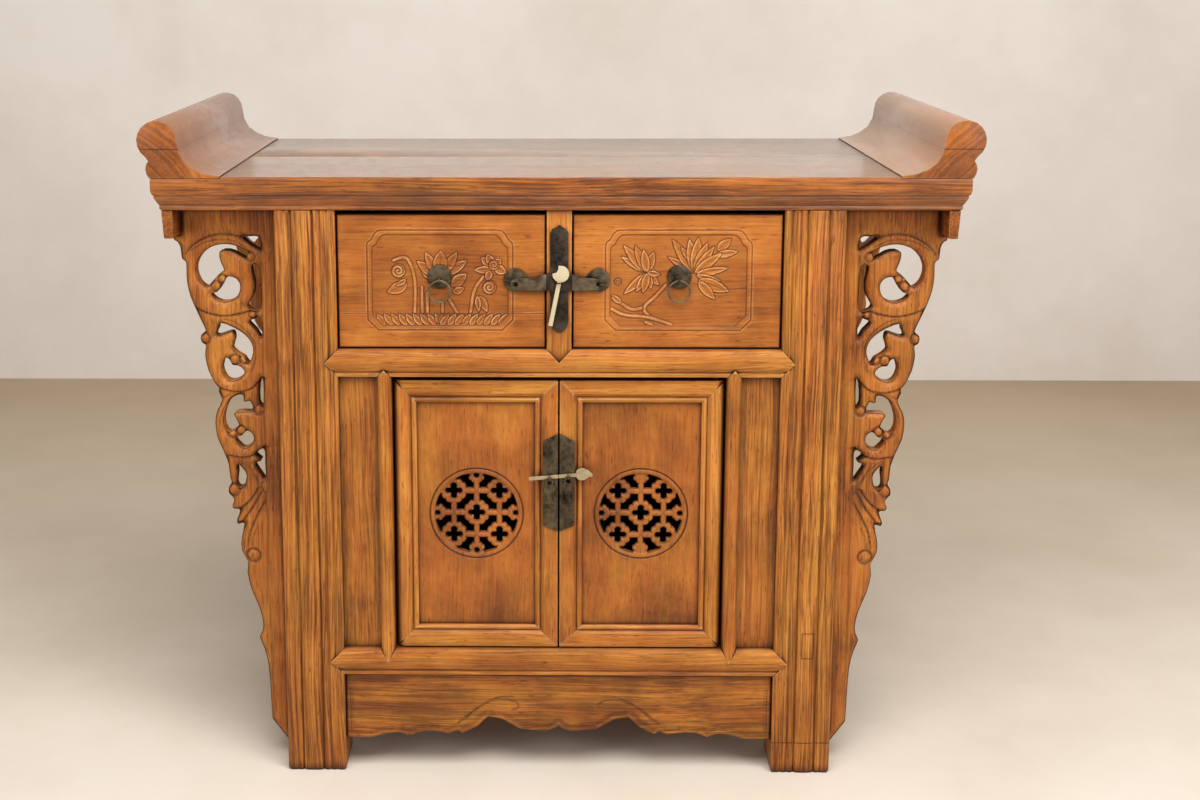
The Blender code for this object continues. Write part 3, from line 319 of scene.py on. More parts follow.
def shading():
    group = bpy.data.node_groups.new("soft_shading", "GeometryNodeTree")
    group.interface.new_socket("Geometry", in_out="INPUT", socket_type="NodeSocketGeometry")
    group.interface.new_socket("Geometry", in_out="OUTPUT", socket_type="NodeSocketGeometry")
    wire = Wire(group)
    shape = wire.node("NodeGroupInput", {}, {})
    round_faces = wire.node("GeometryNodeSetShadeSmooth", {"domain": "FACE"}, {"Geometry": shape})
    angle = wire.node("GeometryNodeInputMeshEdgeAngle", {}, {})
    sharp = wire.node("FunctionNodeCompare", {"operation": "GREATER_THAN"}, {0: angle, 1: SHARP_ANGLE})
    crisp = wire.node("GeometryNodeSetShadeSmooth", {"domain": "EDGE"},
                      {"Geometry": round_faces, "Selection": sharp, "Shade Smooth": False})
    wire.node("NodeGroupOutput", {}, {"Geometry": crisp})
    return group


soft_shading = shading()


def dress(name, finish, width):
    """Gives a part of the frame its finish, with the hard edges worn by the width given."""
    part = nodes[name]
    part.data.materials.clear()
    part.data.materials.append(finish)
    weld = part.modifiers.new("weld", "WELD")
    weld.merge_threshold = 0.00002
    if width:
        worn = part.modifiers.new("worn", "BEVEL")
        worn.width = width
        worn.segments = 2
        worn.limit_method = "ANGLE"
        worn.angle_limit = WORN_ANGLE
    part.modifiers.new("shading", "NODES").node_group = soft_shading


GLUE_LINE = (0.0, 0.4, 2.0, 0.467)
dress("top_front_rail", timber("top_front_wood", "X", 1, 0.86, 0.9, red=0.12, streaky=0.75), 0.0012)
dress("top_board_middle", timber("top_middle_wood", "X", 2, 0.80, 1.0, streaky=0.3), 0.0010)
dress("top_board_back", timber("top_back_wood", "X", 3, 0.80, 1.0, streaky=0.3), 0.0010)
RING_HEART = (0.70, 0.0, 0.66)
for seed, side in enumerate(("left", "right")):
    flange_wood = timber("flange_wood_" + side, "Y", 4 + 3 * seed, 0.82, 0.82, [GLUE_LINE], 0.18, 0.1,
                         WARM_PAINTED_SHEEN[side], RING_HEART)
    dress("flange_" + side, flange_wood, 0.0012)
    dress("end_batten_" + side, timber("batten_wood_" + side, "Y", 4 + 3 * seed, 0.84, red=0.16), 0.0012)

# Legs: four square posts, the front pair reeded on the face. Hardwood with upright grain, the rails
# let into them and the top resting on them.
TENON = (0.3398, 0.186, 0.0077, 0.018)
FOOT_SPLICE = (0.0, -0.2, 2.0, 0.2446)
for end in ("front", "back"):
    for seed, side in enumerate(("left", "right")):
        marks = [TENON, FOOT_SPLICE] if end + side == "frontright" else []
        leg_wood = timber("leg_wood_" + end + side, "Z", 5 + seed, 0.94 + 0.03 * seed, marks=marks,
                          streaky=0.95)
        dress("leg_" + end + "_" + side, leg_wood, 0.0008)

# Brackets: pierced boards of scrolling leaves beside each leg, carved on the front pair. Hardwood,
# grooved into the leg and the batten above.
BEADS = [(0.0868, 0.109, 0.0058), (0.0780, 0.099, 0.0047), (0.0390, 0.069, 0.0052), (0.0650, 0.211, 0.0058),
         (0.0520, 0.210, 0.0052), (0.1040, 0.181, 0.0058), (0.0340, 0.281, 0.0058), (0.0710, 0.314, 0.0050),
         (0.0590, 0.310, 0.0056), (0.0716, 0.394, 0.0068), (0.0384, 0.148, 0.0045), (0.0470, 0.488, 0.0078)]
OVERLAPS = [([(0.126, 0.066), (0.116, 0.053), (0.093, 0.040), (0.070, 0.038), (0.049, 0.043), (0.036, 0.051),
              (0.025, 0.061)], (0, -1)),
            ([(0.116, 0.138), (0.098, 0.146), (0.077, 0.150), (0.058, 0.147), (0.044, 0.143)], (0, 1)),
            ([(0.084, 0.250), (0.063, 0.256), (0.042, 0.251), (0.028, 0.235)], (0, 1)),
            ([(0.076, 0.344), (0.057, 0.348), (0.039, 0.343), (0.028, 0.332)], (0, 1)),
            ([(0.038, 0.390), (0.048, 0.408), (0.065, 0.421)], (0, 1)),
            ([(0.034, 0.396), (0.045, 0.417), (0.061, 0.438)], (0, 1)),
            ([(0.030, 0.411), (0.043, 0.434), (0.052, 0.455), (0.055, 0.475)], (-1, 0))]
INCISED = [[(0.120, 0.061), (0.102, 0.049), (0.080, 0.044), (0.059, 0.047), (0.044, 0.056)],
           [(0.077, 0.154), (0.062, 0.158), (0.046, 0.171), (0.037, 0.187), (0.034, 0.203), (0.042, 0.227)],
           [(0.087, 0.254), (0.084, 0.266), (0.072, 0.258)],
           [(0.088, 0.302), (0.084, 0.280), (0.070, 0.263)],
           [(0.065, 0.351), (0.050, 0.361), (0.037, 0.378), (0.029, 0.400)],
           [(0.052, 0.354), (0.042, 0.372), (0.034, 0.394)],
           [(0.040, 0.446), (0.048, 0.463), (0.049, 0.475)]]
STRIP = 0.0255
STRIP_TOP = 0.058
VOXEL = 0.0016
RIM_STEP = 0.0005
ROUND_DEPTH = 0.0045
ROUND_REACH = 0.0085
LAP_DEPTH = 0.0030
LAP_REACH = 0.009
LINE_DEPTH = 0.0014
LINE_HALF = 0.0008
BEAD_RISE = 0.0042
MOAT_DEPTH = 0.0025


def rounded(path):
    """The same path with its corners cut twice, so that it runs as a smooth curve."""
    for turn in range(2):
        fine = [path[0]]
        for a, b in zip(path, path[1:]):
            for part in (0.25, 0.75):
                fine.append(tuple((1 - part) * p + part * q for p, q in zip(a, b)))
        path = fine + [path[-1]]
    return path


def nearest(points, path, under=(0, 1)):
    """Distance from each point to a path, and whether the point lies on its under side."""
    best = np.full(len(points), 1e9)
    below = np.zeros(len(points), bool)
    for first, last in zip(path, path[1:]):
        a = np.array(first, float)
        step = np.array(last, float) - a
        away = points - a
        part = np.clip(away @ step / (step @ step), 0, 1)
        gap = away - part[:, None] * step
        far = np.linalg.norm(gap, axis=1)
        below = np.where(far < best, gap @ np.array(under) > 0, below)
        best = np.minimum(best, far)
    return best, below


def finished(name, mesh, finish, body, replaced):
    """A new piece at the origin that moves with its body and is shown in place of a frame part."""
    mesh.materials.clear()
    mesh.materials.append(finish)
    piece = bpy.data.objects.new(name, mesh)
    bpy.context.scene.collection.objects.link(piece)
    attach(piece, body)
    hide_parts(*replaced)
    return piece


def carved(name, node, relief, finish, body):
    """A fine copy of a flat frame part, its front pushed in by relief(distance from the rim, x, z), which
    also gives the painted shade of each spot for the wood.
    """
    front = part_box(node)[0].y
    bm = bmesh.new()
    bm.from_mesh(nodes[node].data)
    bmesh.ops.remove_doubles(bm, verts=bm.verts[:], dist=0.00001)
    bmesh.ops.recalc_face_normals(bm, faces=bm.faces[:])
    rim = []
    for edge in bm.edges:
        if sum(face.normal.y < -0.9 for face in edge.link_faces) == 1:
            a, b = (vert.co for vert in edge.verts)
            count = max(1, int((b - a).length / RIM_STEP))
            rim += [a.lerp(b, k / count) for k in range(count)]
    tree = KDTree(len(rim))
    for k, point in enumerate(rim):
        tree.insert((point.x, 0, point.z), k)
    tree.balance()
    rough = bpy.data.meshes.new(name + "_rough")
    bm.to_mesh(rough)
    bm.free()
    block = bpy.data.objects.new(name + "_block", rough)
    bpy.context.scene.collection.objects.link(block)
    fine = block.modifiers.new("fine", "REMESH")
    fine.mode = "VOXEL"
    fine.voxel_size = VOXEL
    fine.use_smooth_shade = True
    graph = bpy.context.evaluated_depsgraph_get()
    mesh = bpy.data.meshes.new_from_object(block.evaluated_get(graph))
    bpy.data.objects.remove(block)
    mesh.name = name
    spots = np.empty(len(mesh.vertices) * 3)
    mesh.vertices.foreach_get("co", spots)
    spots = spots.reshape(-1, 3)
    face = np.flatnonzero(spots[:, 1] < front + 0.9 * VOXEL)
    flat = spots[face][:, [0, 2]]
    away = np.array([tree.find((x, 0, z))[2] for x, z in flat])
    push, dark = relief(away, flat)
    spots[face, 1] = front + push
    mesh.vertices.foreach_set("co", spots.ravel())
    # The relief's dark values go to the wood as painted shade.
    shade = np.zeros(len(spots))
    shade[face] = dark
    mesh.attributes.new("carve", "FLOAT", "POINT").data.foreach_set("value", shade)
    mesh.update()
    return finished(name, mesh, finish, body, [node])


def bell(distance, width):
    return np.exp(-(distance / width) ** 2)


bracket_wood = timber("bracket_wood", "Z", 9, 0.98, red=0.06)
for side, way in (("left", -1), ("right", 1)):
    low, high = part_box("bracket_front_" + side)
    near_leg = high.x if way < 0 else low.x

    def scrolls(away, flat):
        local = np.column_stack([(flat[:, 0] - near_leg) * way, high.z - flat[:, 1]])
        push = ROUND_DEPTH * np.clip(1 - away / ROUND_REACH, 0, 1) ** 2
        dark = np.zeros(len(flat))
        # Where a scroll passes over another, the under side is sunk and painted darker: painted shade. The
        # incised lines and the moats round the beads are painted darker as well: painted shade with grime.
        for path, under in OVERLAPS:
            far, below = nearest(local, rounded(path), under)
            push += np.where(below, LAP_DEPTH * np.exp(-far / LAP_REACH), 0) + 0.0008 * bell(far, 0.0009)
            dark = np.maximum(dark, np.where(below, 0.85 * bell(far, 0.0018), 0.6 * bell(far, 0.0006)))
        strip = bell(local[:, 0] - STRIP, LINE_HALF) * (local[:, 1] > STRIP_TOP)
        for path in INCISED:
            strip = np.maximum(strip, bell(nearest(local, rounded(path))[0], LINE_HALF))
        push += LINE_DEPTH * strip
        dark = np.maximum(dark, 0.75 * strip)
        for across, down, radius in BEADS:
            out = np.hypot(local[:, 0] - across, local[:, 1] - down)
            ball = np.sqrt(np.clip(1 - (out / radius) ** 2, 0, 1))
            moat = bell(out - 1.2 * radius, 0.25 * radius)
            push = np.where(out < radius, ROUND_DEPTH - BEAD_RISE * ball, push + MOAT_DEPTH * moat)
            dark = np.maximum(dark * (out > radius), 0.8 * moat)
        return push, dark

    carved("bracket_" + side, "bracket_front_" + side, scrolls, bracket_wood, "case")
    dress("bracket_back_" + side, bracket_wood, 0.0010)

# Front frame: two moulded rails with pointed ends in the legs, the divider between the drawers, the
# rounded uprights and plain strips beside the doors. Hardwood, mitred into each other.
rail_wood = timber("rail_wood", "X", 11, 1.05)
upright_wood = timber("upright_wood", "Z", 12)
dress("middle_rail", rail_wood, 0.0006)
dress("bottom_rail", timber("bottom_rail_wood", "X", 13, 0.98, red=0.04), 0.0006)
dress("drawer_divider", upright_wood, 0.0010)
for side in ("left", "right"):
    dress("muntin_" + side, upright_wood, 0)
    dress("front_strip_" + side, timber("strip_wood_" + side, "Z", 14, 0.90), 0.0005)

# Apron: one board under the lower rail with a scrolled lower edge. Hardwood, its edge line and
# scrolls cut in with a gouge.
SCROLL = [(0.140, 0.066), (0.122, 0.082), (0.104, 0.095), (0.085, 0.1025), (0.066, 0.1025), (0.054, 0.096),
          (0.056, 0.088), (0.064, 0.0875)]
LOW_PART = 0.118
APRON_ROUND = 0.0018
APRON_REACH = 0.0028


def apron_lines(away, flat):
    local = np.column_stack([np.abs(flat[:, 0]), flat[:, 1]])
    low_edge = flat[:, 1] < LOW_PART
    push = APRON_ROUND * np.clip(1 - away / APRON_REACH, 0, 1) ** 2
    line = np.maximum(bell(away - 0.0062, 0.0008), 0.8 * bell(away - 0.0092, 0.0007)) * low_edge
    scroll = bell(nearest(local, rounded(SCROLL))[0], 0.0011)
    inner = bell(nearest(local, rounded([(x * 0.94, z + 0.0045) for x, z in SCROLL[:5]]))[0], 0.0009)
    line = np.maximum(line, np.maximum(scroll, inner))
    # The gouged lines are painted darker: painted shade with grime.
    return push + LINE_DEPTH * line, 0.7 * line


# The apron's wood is painted darker than the other boards: painted shade under the lower rail.
carved("apron_board", "apron", apron_lines, timber("apron_wood", "X", 16, 0.80), "case")

# Case boards: side panels and side rails between the legs, the back, the floor and the board under
# the drawers. Softer plain boards, grooved in.
board_wood = timber("board_wood", "X", 17, 0.75)
for side in ("left", "right"):
    dress("side_panel_" + side, timber("side_panel_wood_" + side, "Z", 18, 0.9), 0.0005)
    dress("side_rail_" + side, timber("side_rail_wood_" + side, "Y", 19, 0.9), 0.0010)
for name in ("back_panel", "floor_board", "drawer_board"):
    dress(name, board_wood, 0.0006)

# Drawers: thick fronts carved in low relief with water plants inside a double border, and a plain box
# behind. Leaves are given in millimetres from the middle of the front: root, tip and half width.
LEFT_LEAVES = [
    (-8, 2, -27, 13, 4.5), (-9, 8, -32, 27, 6.5), (6, 10, 34, 28, 6.5), (-8, 13, -21, 39, 6.0),
    (4, 13, 21, 39, 6.0), (-2, 12, -1, 41, 9.0), (13, -6, 33, 10, 7.5), (15, -15, 30, -9, 5.0),
    (-46, -4, -72, -15, 7.5), (-47, 2, -60, -6, 3.5), (66, 22, 52, 31, 5.5), (67, 23, 60, 36, 5.5),
    (70, 22, 79, 29, 5.5), (70, 19, 86, 11, 6.0), (66, 16, 43, 15, 5.0), (64, 14, 60, 1, 5.0),
    (50, -20, 60, -41, 5.5), (47, -20, 49, -41, 4.0)]
LEFT_STEMS = [
    [(-63, 28), (-50, 33), (-42, 28), (-34, 0), (-36, -42)], [(-19, -42), (-19, -16)],
    [(-26, -42), (-26, -8)], [(1, -42), (1, -28)], [(20, -42), (10, -25)], [(55, 6), (42, -11), (38, -42)]]
LEFT_CURLS = [(-57, 14, 8.8), (69, 22, 6.5), (63, -8, 8.8)]
RIGHT_LEAVES = [
    (-40, 13, -74, 33, 5.0), (-40, 13, -71, 48, 6.5), (-40, 13, -31, 40, 6.0), (-40, 13, -56, 48, 6.0),
    (-40, 13, -45, 43, 5.5), (-39, 11, -70, -17, 5.5), (-39, 11, -24, -5, 4.5), (-39, 11, -54, -14, 5.0),
    (-39, 11, -34, -10, 4.5), (-39, 11, -45, -16, 5.0), (-39, 12, -22, 9, 4.0), (23, 12, -13, 33, 5.0),
    (23, 12, -7, 56, 7.0), (20, 25, 4, 46, 4.0), (23, 12, 15, 57, 7.0), (23, 12, 27, 59, 7.5),
    (23, 12, 39, 52, 6.5), (23, 12, 48, 47, 5.5), (52, 42, 70, 57, 6.0), (50, 35, 79, 40, 5.0),
    (23, 12, 58, 38, 6.0), (25, 10, 67, 18, 5.0), (25, 8, 57, 1, 4.0), (28, 2, 68, -13, 8.0),
    (28, 0, 50, -24, 6.0), (-74, -29, -86, -18, 4.0)]
RIGHT_STEMS = [
    [(-15, -5), (-29, -21), (-47, -36), (-33, -50)], [(-87, -22), (-74, -29), (-59, -39), (-47, -36)],
    [(-86, -37), (-70, -46), (-41, -47), (-25, -52), (-7, -58)], [(-41, -55), (-33, -58)]]
RIGHT_CURLS = [(-78, 0, 4.4)]
FAN = [(9.6 * k - math.copysign(11, k) * (k != 0), -59, 9.6 * k, -43.5, 4.3) for k in range(-9, 10)]
UPPER_CORNER = [(0, 22), (1.0, 16.5), (6.0, 12.5), (9.5, 5.5), (14.5, 0.8), (21, 0)]
LOWER_CORNER = 14.0
OUTER_BORDER = (96, -65.5, 68.5)
INNER_BORDER = (89.5, -59.5, 62.5)
STEM_HALF = 2.2
EDGE_ROUND = 1.6
EDGE_REACH = 2.2
LIFT = 1.15
JOINT_AT = -43.0
GROUND = 1.2
GRID_STEP = 0.0008


def border(middle, half, low, high):
    """A closed border line with waved upper corners and cut lower ones."""
    left, right = middle - half, middle + half
    cut = LOWER_CORNER
    first = [(left + x, high - z) for x, z in UPPER_CORNER]
    second = [(right - x, high - z) for x, z in reversed(UPPER_CORNER)]
    lower = [(right, low + cut), (right - cut, low), (left + cut, low), (left, low + cut)]
    return first + second + lower + [first[0]]


def enclosed(points, loop):
    """Whether each point lies inside a closed path."""
    inside = np.zeros(len(points), bool)
    for (a_x, a_z), (b_x, b_z) in zip(loop, loop[1:]):
        if a_z != b_z:
            level = a_x + (points[:, 1] - a_z) * (b_x - a_x) / (b_z - a_z)
            inside ^= ((points[:, 1] < a_z) != (points[:, 1] < b_z)) & (points[:, 0] < level)
    return inside


def leaf(points, root_x, root_z, tip_x, tip_z, half):
    """How deep inside the outline of a pointed leaf each point lies, and how near its middle vein."""
    root = np.array([root_x, root_z], float)
    run = np.array([tip_x, tip_z], float) - root
    length = np.linalg.norm(run)
    along = (points - root) @ run / length ** 2
    across = (points - root) @ np.array([-run[1], run[0]]) / length
    wide = half * np.sin(np.pi * np.clip(along, 0, 1) ** 0.8) ** 0.8
    past = np.maximum(np.maximum(-along, along - 1), 0) * length
    deep = np.where(past > 0, -np.hypot(past, np.abs(across)), wide - np.abs(across))
    return deep, bell(across, 0.6) * (along > 0.15) * (along < 0.8)


def soften(bm):
    """Rounds the shading of a new piece, except at its sharp corners."""
    for face in bm.faces:
        face.smooth = True
    for edge in bm.edges:
        edge.smooth = edge.calc_face_angle(0.0) < math.radians(50)


def carved_front(side, leaves, stems, curls, shift, jointed):
    node = "drawer_front_" + side
    low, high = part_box(node)
    middle = (low + high) / 2
    wide, tall = high.x - low.x, high.z - low.z
    bm = bmesh.new()
    columns, rows = round(wide / GRID_STEP), round(tall / GRID_STEP)
    bmesh.ops.create_grid(bm, x_segments=columns, y_segments=rows, size=0.5)
    spots = np.array([vert.co[:2] for vert in bm.verts]) * [wide, tall]
    mm = spots * 1000
    lift = np.zeros(len(mm))
    line = np.zeros(len(mm))
    # pale marks the highlights painted along raised edges, and worn chips along the joint.
    pale = np.zeros(len(mm))
    for path in stems:
        away = nearest(mm, rounded(path))[0]
        lift = np.maximum(lift, 0.9 * np.sqrt(np.clip(1 - (away / STEM_HALF) ** 2, 0, 1)))
        line = np.where(away < STEM_HALF, 0, np.maximum(line, bell(away - 2.7, 0.7)))
        pale = np.maximum(pale, 0.6 * bell(away - 0.8, 0.8))
    for shape in leaves:
        deep, vein = leaf(mm, *shape)
        inside = deep > 0
        lift = np.where(inside, 0.5 + 0.55 * bell(deep - 1.0, 0.9) - 0.3 * vein, lift)
        line = np.where(inside, 0.6 * vein, np.maximum(line, bell(deep + 0.6, 0.8)))
        pale = np.where(inside, bell(deep - 0.9, 0.7), pale * (1 - bell(deep + 0.6, 0.8)))
    for x, z, radius in curls:
        out = np.hypot(mm[:, 0] - x, mm[:, 1] - z)
        turn = np.arctan2(mm[:, 1] - z, mm[:, 0] - x) / (2 * np.pi)
        coil = bell(np.abs(((out / radius * 2 - turn) % 1) - 0.5) * radius / 2, 0.7)
        inside = out < radius
        lift = np.where(inside, 0.9 - 0.5 * coil, lift)
        line = np.where(inside, coil, np.maximum(line, bell(out - radius - 0.6, 0.8)))
        pale = np.where(inside, 0.6 * (1 - coil), pale)
    outer = nearest(mm, border(shift, *OUTER_BORDER))[0]
    inner_path = border(shift, *INNER_BORDER)
    inner = nearest(mm, inner_path)[0]
    field = np.where(enclosed(mm, inner_path), np.clip(inner / 1.4, 0, 1), 0)
    edge = np.minimum(wide / 2 - np.abs(spots[:, 0]), tall / 2 - np.abs(spots[:, 1])) * 1000
    rims = np.maximum(bell(outer, 0.8), bell(inner, 0.8))
    line = np.maximum(line * field, rims)
    pale = np.maximum(pale * field, 0.35 * bell(outer - 1.8, 0.8))
    if jointed:
        joint = bell(mm[:, 1] - JOINT_AT, 0.5) * (edge > 0.5)
        line = np.maximum(line, joint)
        pale = np.maximum(pale, 0.6 * bell(mm[:, 1] - JOINT_AT - 1.2, 0.7))
    push = EDGE_ROUND * np.clip(1 - edge / EDGE_REACH, 0, 1) ** 2 + GROUND * field
    push = push - LIFT * lift * field + 0.7 * line
    push = np.maximum(push, 0.02)
    ground = 0.20 * field * (1 - np.clip(lift, 0, 1))
    # Painted marks for the wood: the lines along the carved grooves darker as painted shade with grime, the
    # sunk ground a little darker, and the pale lines along raised rims lighter as painted highlights, with
    # worn chips along the joint.
    carve = np.where(line > 0.12, 0.85 * line, ground - 0.75 * pale)
    layer = bm.verts.layers.float.new("carve")
    for vert, (x, z), deep, shade in zip(bm.verts, spots, push, carve):
        vert.co = (middle.x + x, low.y + deep * 0.001, middle.z + z)
        vert[layer] = shade
    rim = [edge for edge in bm.edges if edge.is_boundary]
    made = bmesh.ops.extrude_edge_only(bm, edges=rim)["geom"]
    for vert in made:
        if isinstance(vert, bmesh.types.BMVert):
            vert.co.y = high.y
    bmesh.ops.holes_fill(bm, edges=[edge for edge in bm.edges if edge.is_boundary], sides=0)
    bmesh.ops.recalc_face_normals(bm, faces=bm.faces[:])
    soften(bm)
    mesh = bpy.data.meshes.new("carved_front_" + side)
    bm.to_mesh(mesh)
    bm.free()
    return mesh


drawer_wood = timber("drawer_wood", "X", 21, 1.03, red=0.12, streaky=0.3)
box_wood = timber("drawer_box_wood", "Y", 22, 0.8)
left_front = carved_front("left", LEFT_LEAVES + FAN, LEFT_STEMS, LEFT_CURLS, -2.0, True)
finished("carved_front_left", left_front, drawer_wood, "drawer_left", ["drawer_front_left"])
drawer_wood_right = timber("drawer_wood_right", "X", 23, 1.05, red=0.16, streaky=0.3)
right_front = carved_front("right", RIGHT_LEAVES, RIGHT_STEMS, RIGHT_CURLS, 1.5, False)
finished("carved_front_right", right_front, drawer_wood_right, "drawer_right", ["drawer_front_right"])
for side in ("left", "right"):
    dress("drawer_box_" + side, box_wood, 0.0006)

# Pulls: a round plate and a plain ring in a staple on each drawer. Dark brass with a dull skin, the
# ring rubbed bright where it is held.
METAL_STEP = (1.0, 0.6, 0.3)
METAL_GRIME = (0.22, 0.16, 0.12)


def brass(name, dull, bright, rub, seed, metal=0.75):
    """Old brass between a dull and a bright colour, with more of the bright one the more it is rubbed."""
    finish, wire = start(name)
    spot = wire.node("ShaderNodeTexCoord", {}, {}, "Object")
    moved = vector_math("ADD", spot, [seed * step for step in METAL_STEP])
    skin = noise(moved, scale=160.0, detail=6.0, rough=0.65)
    cloud = noise(moved, scale=42.0, detail=4.0, rough=0.5)
    nook = wire.node("ShaderNodeAmbientOcclusion", {"samples": 8}, {"Distance": 0.006}, "AO")
    amount = ease(skin * 0.9 + cloud * 0.9 + nook * 0.2, 0.86 - rub, 1.28 - rub)
    body = blend(ease(nook, 0.85, 0.3, top=0.75), blend(amount, dull, bright), METAL_GRIME, "MULTIPLY")
    rough = ease(skin, 0.3, 0.7, 0.34, 0.62)
    bump = wire.node("ShaderNodeBump", {}, {"Strength": 0.3, "Distance": 0.0004, "Height": skin})
    paint = wire.node("ShaderNodeBsdfPrincipled", {},
                      {"Base Color": body, "Roughness": rough, "Normal": bump, "Metallic": metal})
    wire.node("ShaderNodeOutputMaterial", {}, {"Surface": paint})
    return finish


dark_brass = brass("dark_brass", (0.016, 0.011, 0.006), (0.145, 0.105, 0.058), 0.0, 1.0)
rubbed_brass = brass("rubbed_brass", (0.035, 0.026, 0.015), (0.18, 0.14, 0.082), 0.08, 2.0)
for side in ("left", "right"):
    dress("pull_plate_" + side, dark_brass, 0.0004)
    dress("pull_ring_" + side, rubbed_brass, 0)

# Lock bar: a hasp on each drawer, the strap with its keeper on the divider and the peg through the
# staple. Dark brass, the peg pale and polished.
grey_brass = brass("grey_brass", (0.028, 0.019, 0.011), (0.18, 0.135, 0.083), 0.02, 4.0)
black_brass = brass("black_brass", (0.009, 0.007, 0.005), (0.075, 0.055, 0.038), 0.0, 5.0)
pale_brass = brass("pale_brass", (0.42, 0.32, 0.18), (0.63, 0.53, 0.34), 0.28, 3.0, 0.25)
for side in ("left", "right"):
    dress("hasp_plate_" + side, dark_brass, 0.0004)
    dress("hasp_" + side, grey_brass, 0.0004)
dress("lock_strap", black_brass, 0.0004)
dress("lock_peg", pale_brass, 0.0006)

# Doors: four mitred members round a panel that carries a pierced round medallion. Hardwood, the panel
# from one upright board.
PITCH = 30.9
BAR_HALF = 3.8
RING_IN = 56.4
RING_OUT = 63.3
RIM_FLOWER = 53.0
CUT_STEP = 0.75
CUT_HALF = 67.5
FLOWER = 18.0
RIM_FLOWER_SIZE = 11.5
ARM = 7.4
ARM_HALF = 4.2
EYE = 3.4
NUDGE = 0.05


def flower(points, x, z, size):
    """Distance inside an eight-lobed flower, in millimetres."""
    inside = 0.72 * size - np.hypot(points[:, 0] - x, points[:, 1] - z)
    for quarter in range(4):
        for lean in (27, 63):
            turn = math.radians(90 * quarter + lean)
            lobe = np.array([x + 0.68 * size * math.cos(turn), z + 0.68 * size * math.sin(turn)])
            inside = np.maximum(inside, 0.32 * size - np.linalg.norm(points - lobe, axis=1))
    return inside


def lattice(points, holed):
    """Distance inside the pierced lattice, and the fine lines cut where its bars cross."""
    out = np.hypot(points[:, 0], points[:, 1])
    inside = out - RING_IN
    lines = np.zeros(len(points))
    for k in (-1, 0, 1):
        inside = np.maximum(inside, BAR_HALF - np.abs(points[:, 0] - k * PITCH))
        inside = np.maximum(inside, BAR_HALF - np.abs(points[:, 1] - k * PITCH))
    sides = ((1, 0), (-1, 0), (0, 1), (0, -1))
    spots = [(0, 0, FLOWER)] + [(a * PITCH, b * PITCH, FLOWER) for a in (-1, 1) for b in (-1, 1)]
    rims = [(a * RIM_FLOWER, b * RIM_FLOWER, RIM_FLOWER_SIZE) for a, b in sides]
    for x, z, size in spots + rims:
        inside = np.maximum(inside, flower(points, x, z, size))
    for x, z, size in spots:
        across, up = np.abs(points[:, 0] - x), np.abs(points[:, 1] - z)
        level = np.hypot(np.maximum(across - ARM, 0), up)
        upright = np.hypot(across, np.maximum(up - ARM, 0))
        inside = np.minimum(inside, np.minimum(level, upright) - ARM_HALF)
    for x, z, size in rims[:holed]:
        inside = np.minimum(inside, np.hypot(points[:, 0] - x, points[:, 1] - z) - EYE)
    for a, b in sides:
        across, up = np.abs(points[:, 0] - a * PITCH), np.abs(points[:, 1] - b * PITCH)
        lines = np.maximum(lines, bell(across - up, 0.6) * (np.maximum(across, up) < BAR_HALF))
    return inside, lines


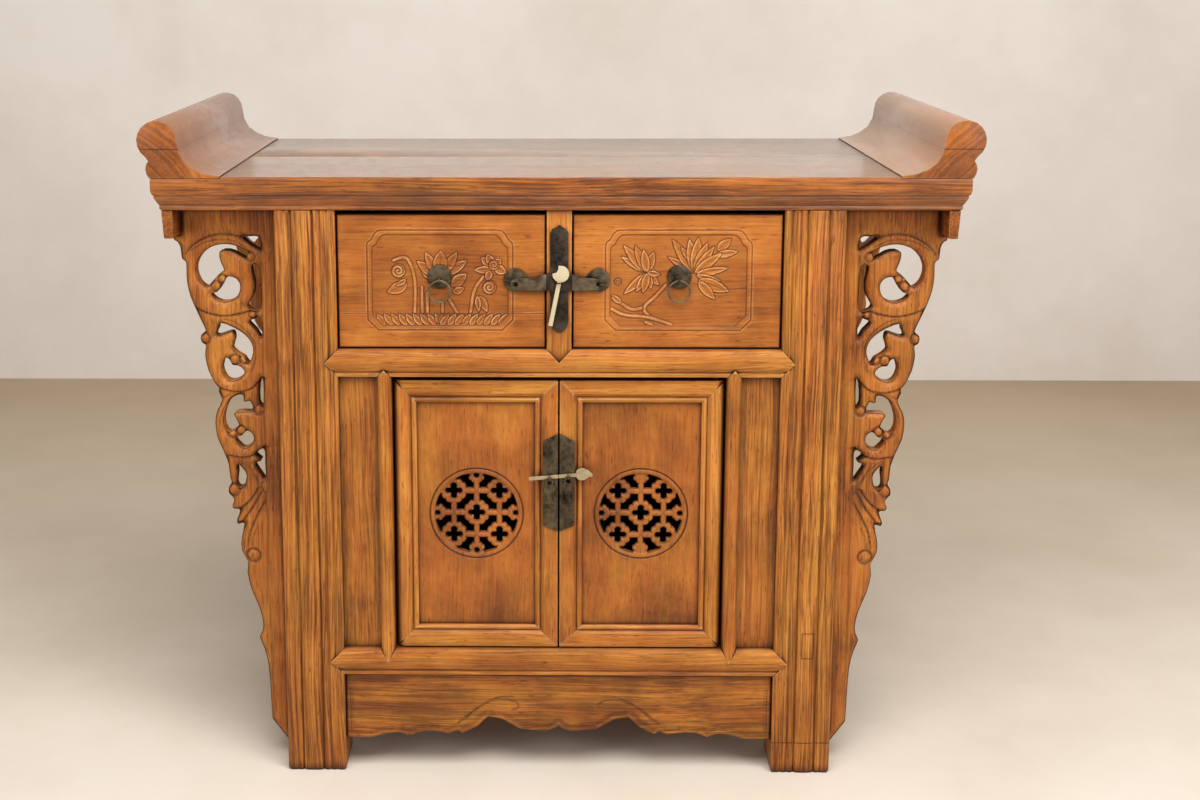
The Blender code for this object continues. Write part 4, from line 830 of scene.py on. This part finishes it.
def pierced_panel(side, holed):
    low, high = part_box("door_panel_" + side)
    middle = (low + high) / 2
    bm = bmesh.new()
    count = round(2 * CUT_HALF / CUT_STEP)
    bmesh.ops.create_grid(bm, x_segments=count, y_segments=count, size=CUT_HALF)
    spots = np.array([vert.co[:2] for vert in bm.verts])
    inside, lines = lattice(spots, holed)
    bm.verts.ensure_lookup_table()
    waste = [vert for vert, keep in zip(bm.verts, inside > -0.5 * CUT_STEP) if not keep]
    bmesh.ops.delete(bm, geom=waste, context="VERTS")
    spots = np.array([vert.co[:2] for vert in bm.verts])
    within = np.abs(spots).max(axis=1) < CUT_HALF - CUT_STEP
    rim = np.array([vert.is_boundary for vert in bm.verts]) & within
    for turn in range(3):
        here = lattice(spots, holed)[0]
        nudged = [lattice(spots + step, holed)[0] - here for step in ([NUDGE, 0], [0, NUDGE])]
        slope = np.column_stack(nudged) / NUDGE
        steep = np.maximum((slope ** 2).sum(axis=1), 0.25)
        spots = np.where(rim[:, None], spots - (here / steep)[:, None] * slope, spots)
    inside, lines = lattice(spots, holed)
    out = np.hypot(spots[:, 0], spots[:, 1])
    groove = bell(out - RING_OUT, 0.9)
    bead = np.clip((out - RING_IN) / (RING_OUT - RING_IN), 0, 1) - 0.5
    push = 1.7 * np.clip(1 - inside / 3.0, 0, 1) ** 2 * (out < RING_IN)
    push += 0.9 * (out < RING_IN - 0.5) + 1.3 * groove + 0.5 * lines + 4.0 * bead ** 2 * (out < RING_OUT)
    # The ring groove, the fine crossing lines and the bar edges round the openings are painted darker:
    # painted shade with grime.
    edge = 0.55 * np.clip(1 - inside / 1.6, 0, 1) * (out < RING_IN + 1)
    dark = bm.verts.layers.float.new("carve")
    shades = np.maximum(0.85 * groove, np.maximum(edge, 0.6 * lines))
    for vert, (x, z), deep, shade in zip(bm.verts, spots, push, shades):
        vert.co = (middle.x + 0.001 * x, low.y + 0.001 * deep, middle.z + 0.001 * z)
        vert[dark] = shade
    half = 0.001 * CUT_HALF
    marks_x = [low.x, middle.x - half, middle.x + half, high.x]
    marks_z = [low.z, middle.z - half, middle.z + half, high.z]
    sheet = bmesh.ops.create_grid(bm, x_segments=3, y_segments=3, size=1.5)["verts"]
    centre = [face for face in bm.faces
              if face.calc_center_median().length < 0.1 and face.calc_area() > 0.5]
    bmesh.ops.delete(bm, geom=centre, context="FACES_ONLY")
    corners = {vert for vert in sheet if max(abs(vert.co.x), abs(vert.co.y)) < 1}
    for vert in sheet:
        vert.co = (marks_x[round(vert.co.x + 1.5)], low.y, marks_z[round(vert.co.y + 1.5)])
    seam = [edge for edge in bm.edges if set(edge.verts) <= corners]
    bmesh.ops.subdivide_edges(bm, edges=seam, cuts=count - 1)
    bmesh.ops.remove_doubles(bm, verts=bm.verts[:], dist=0.00001)
    solid = bmesh.ops.extrude_face_region(bm, geom=bm.faces[:])
    for item in solid["geom"]:
        if isinstance(item, bmesh.types.BMVert):
            item.co.y = high.y
            item[dark] = 0.0
    bmesh.ops.recalc_face_normals(bm, faces=bm.faces[:])
    soften(bm)
    mesh = bpy.data.meshes.new("panel_" + side)
    bm.to_mesh(mesh)
    bm.free()
    return mesh


for seed, side in enumerate(("left", "right")):
    stile_wood = timber("stile_wood_" + side, "Z", 25 + seed, 1.16)
    meeting_wood = timber("meeting_wood_" + side, "Z", 33 + seed, 1.02, red=0.06, streaky=0.4)
    across_wood = timber("door_rail_wood_" + side, "X", 27 + seed, 1.08)
    dress("door_hinge_stile_" + side, stile_wood, 0.0004)
    dress("door_lock_stile_" + side, meeting_wood, 0.0004)
    dress("door_top_rail_" + side, across_wood, 0.0004)
    dress("door_low_rail_" + side, across_wood, 0.0004)
    panel_wood = timber("panel_wood_" + side, "Z", 29 + seed, 0.94 - 0.05 * seed, red=0.10, streaky=0.2)
    finished("panel_" + side, pierced_panel(side, 4 - 2 * seed), panel_wood, "door_" + side,
             ["door_panel_" + side])

# Door lock: a pointed plate on each meeting stile, two staples with hanging drops, and a pin in two
# halves. Dark brass, the pin pale.
for side in ("left", "right"):
    dress("door_plate_" + side, dark_brass, 0.0004)
    dress("door_drop_" + side, dark_brass, 0.0004)
old_brass = brass("old_brass", (0.18, 0.135, 0.07), (0.40, 0.32, 0.175), 0.16, 6.0, 0.3)
for name in ("lock_pin_tail", "lock_pin_head"):
    dress(name, old_brass, 0.0006)
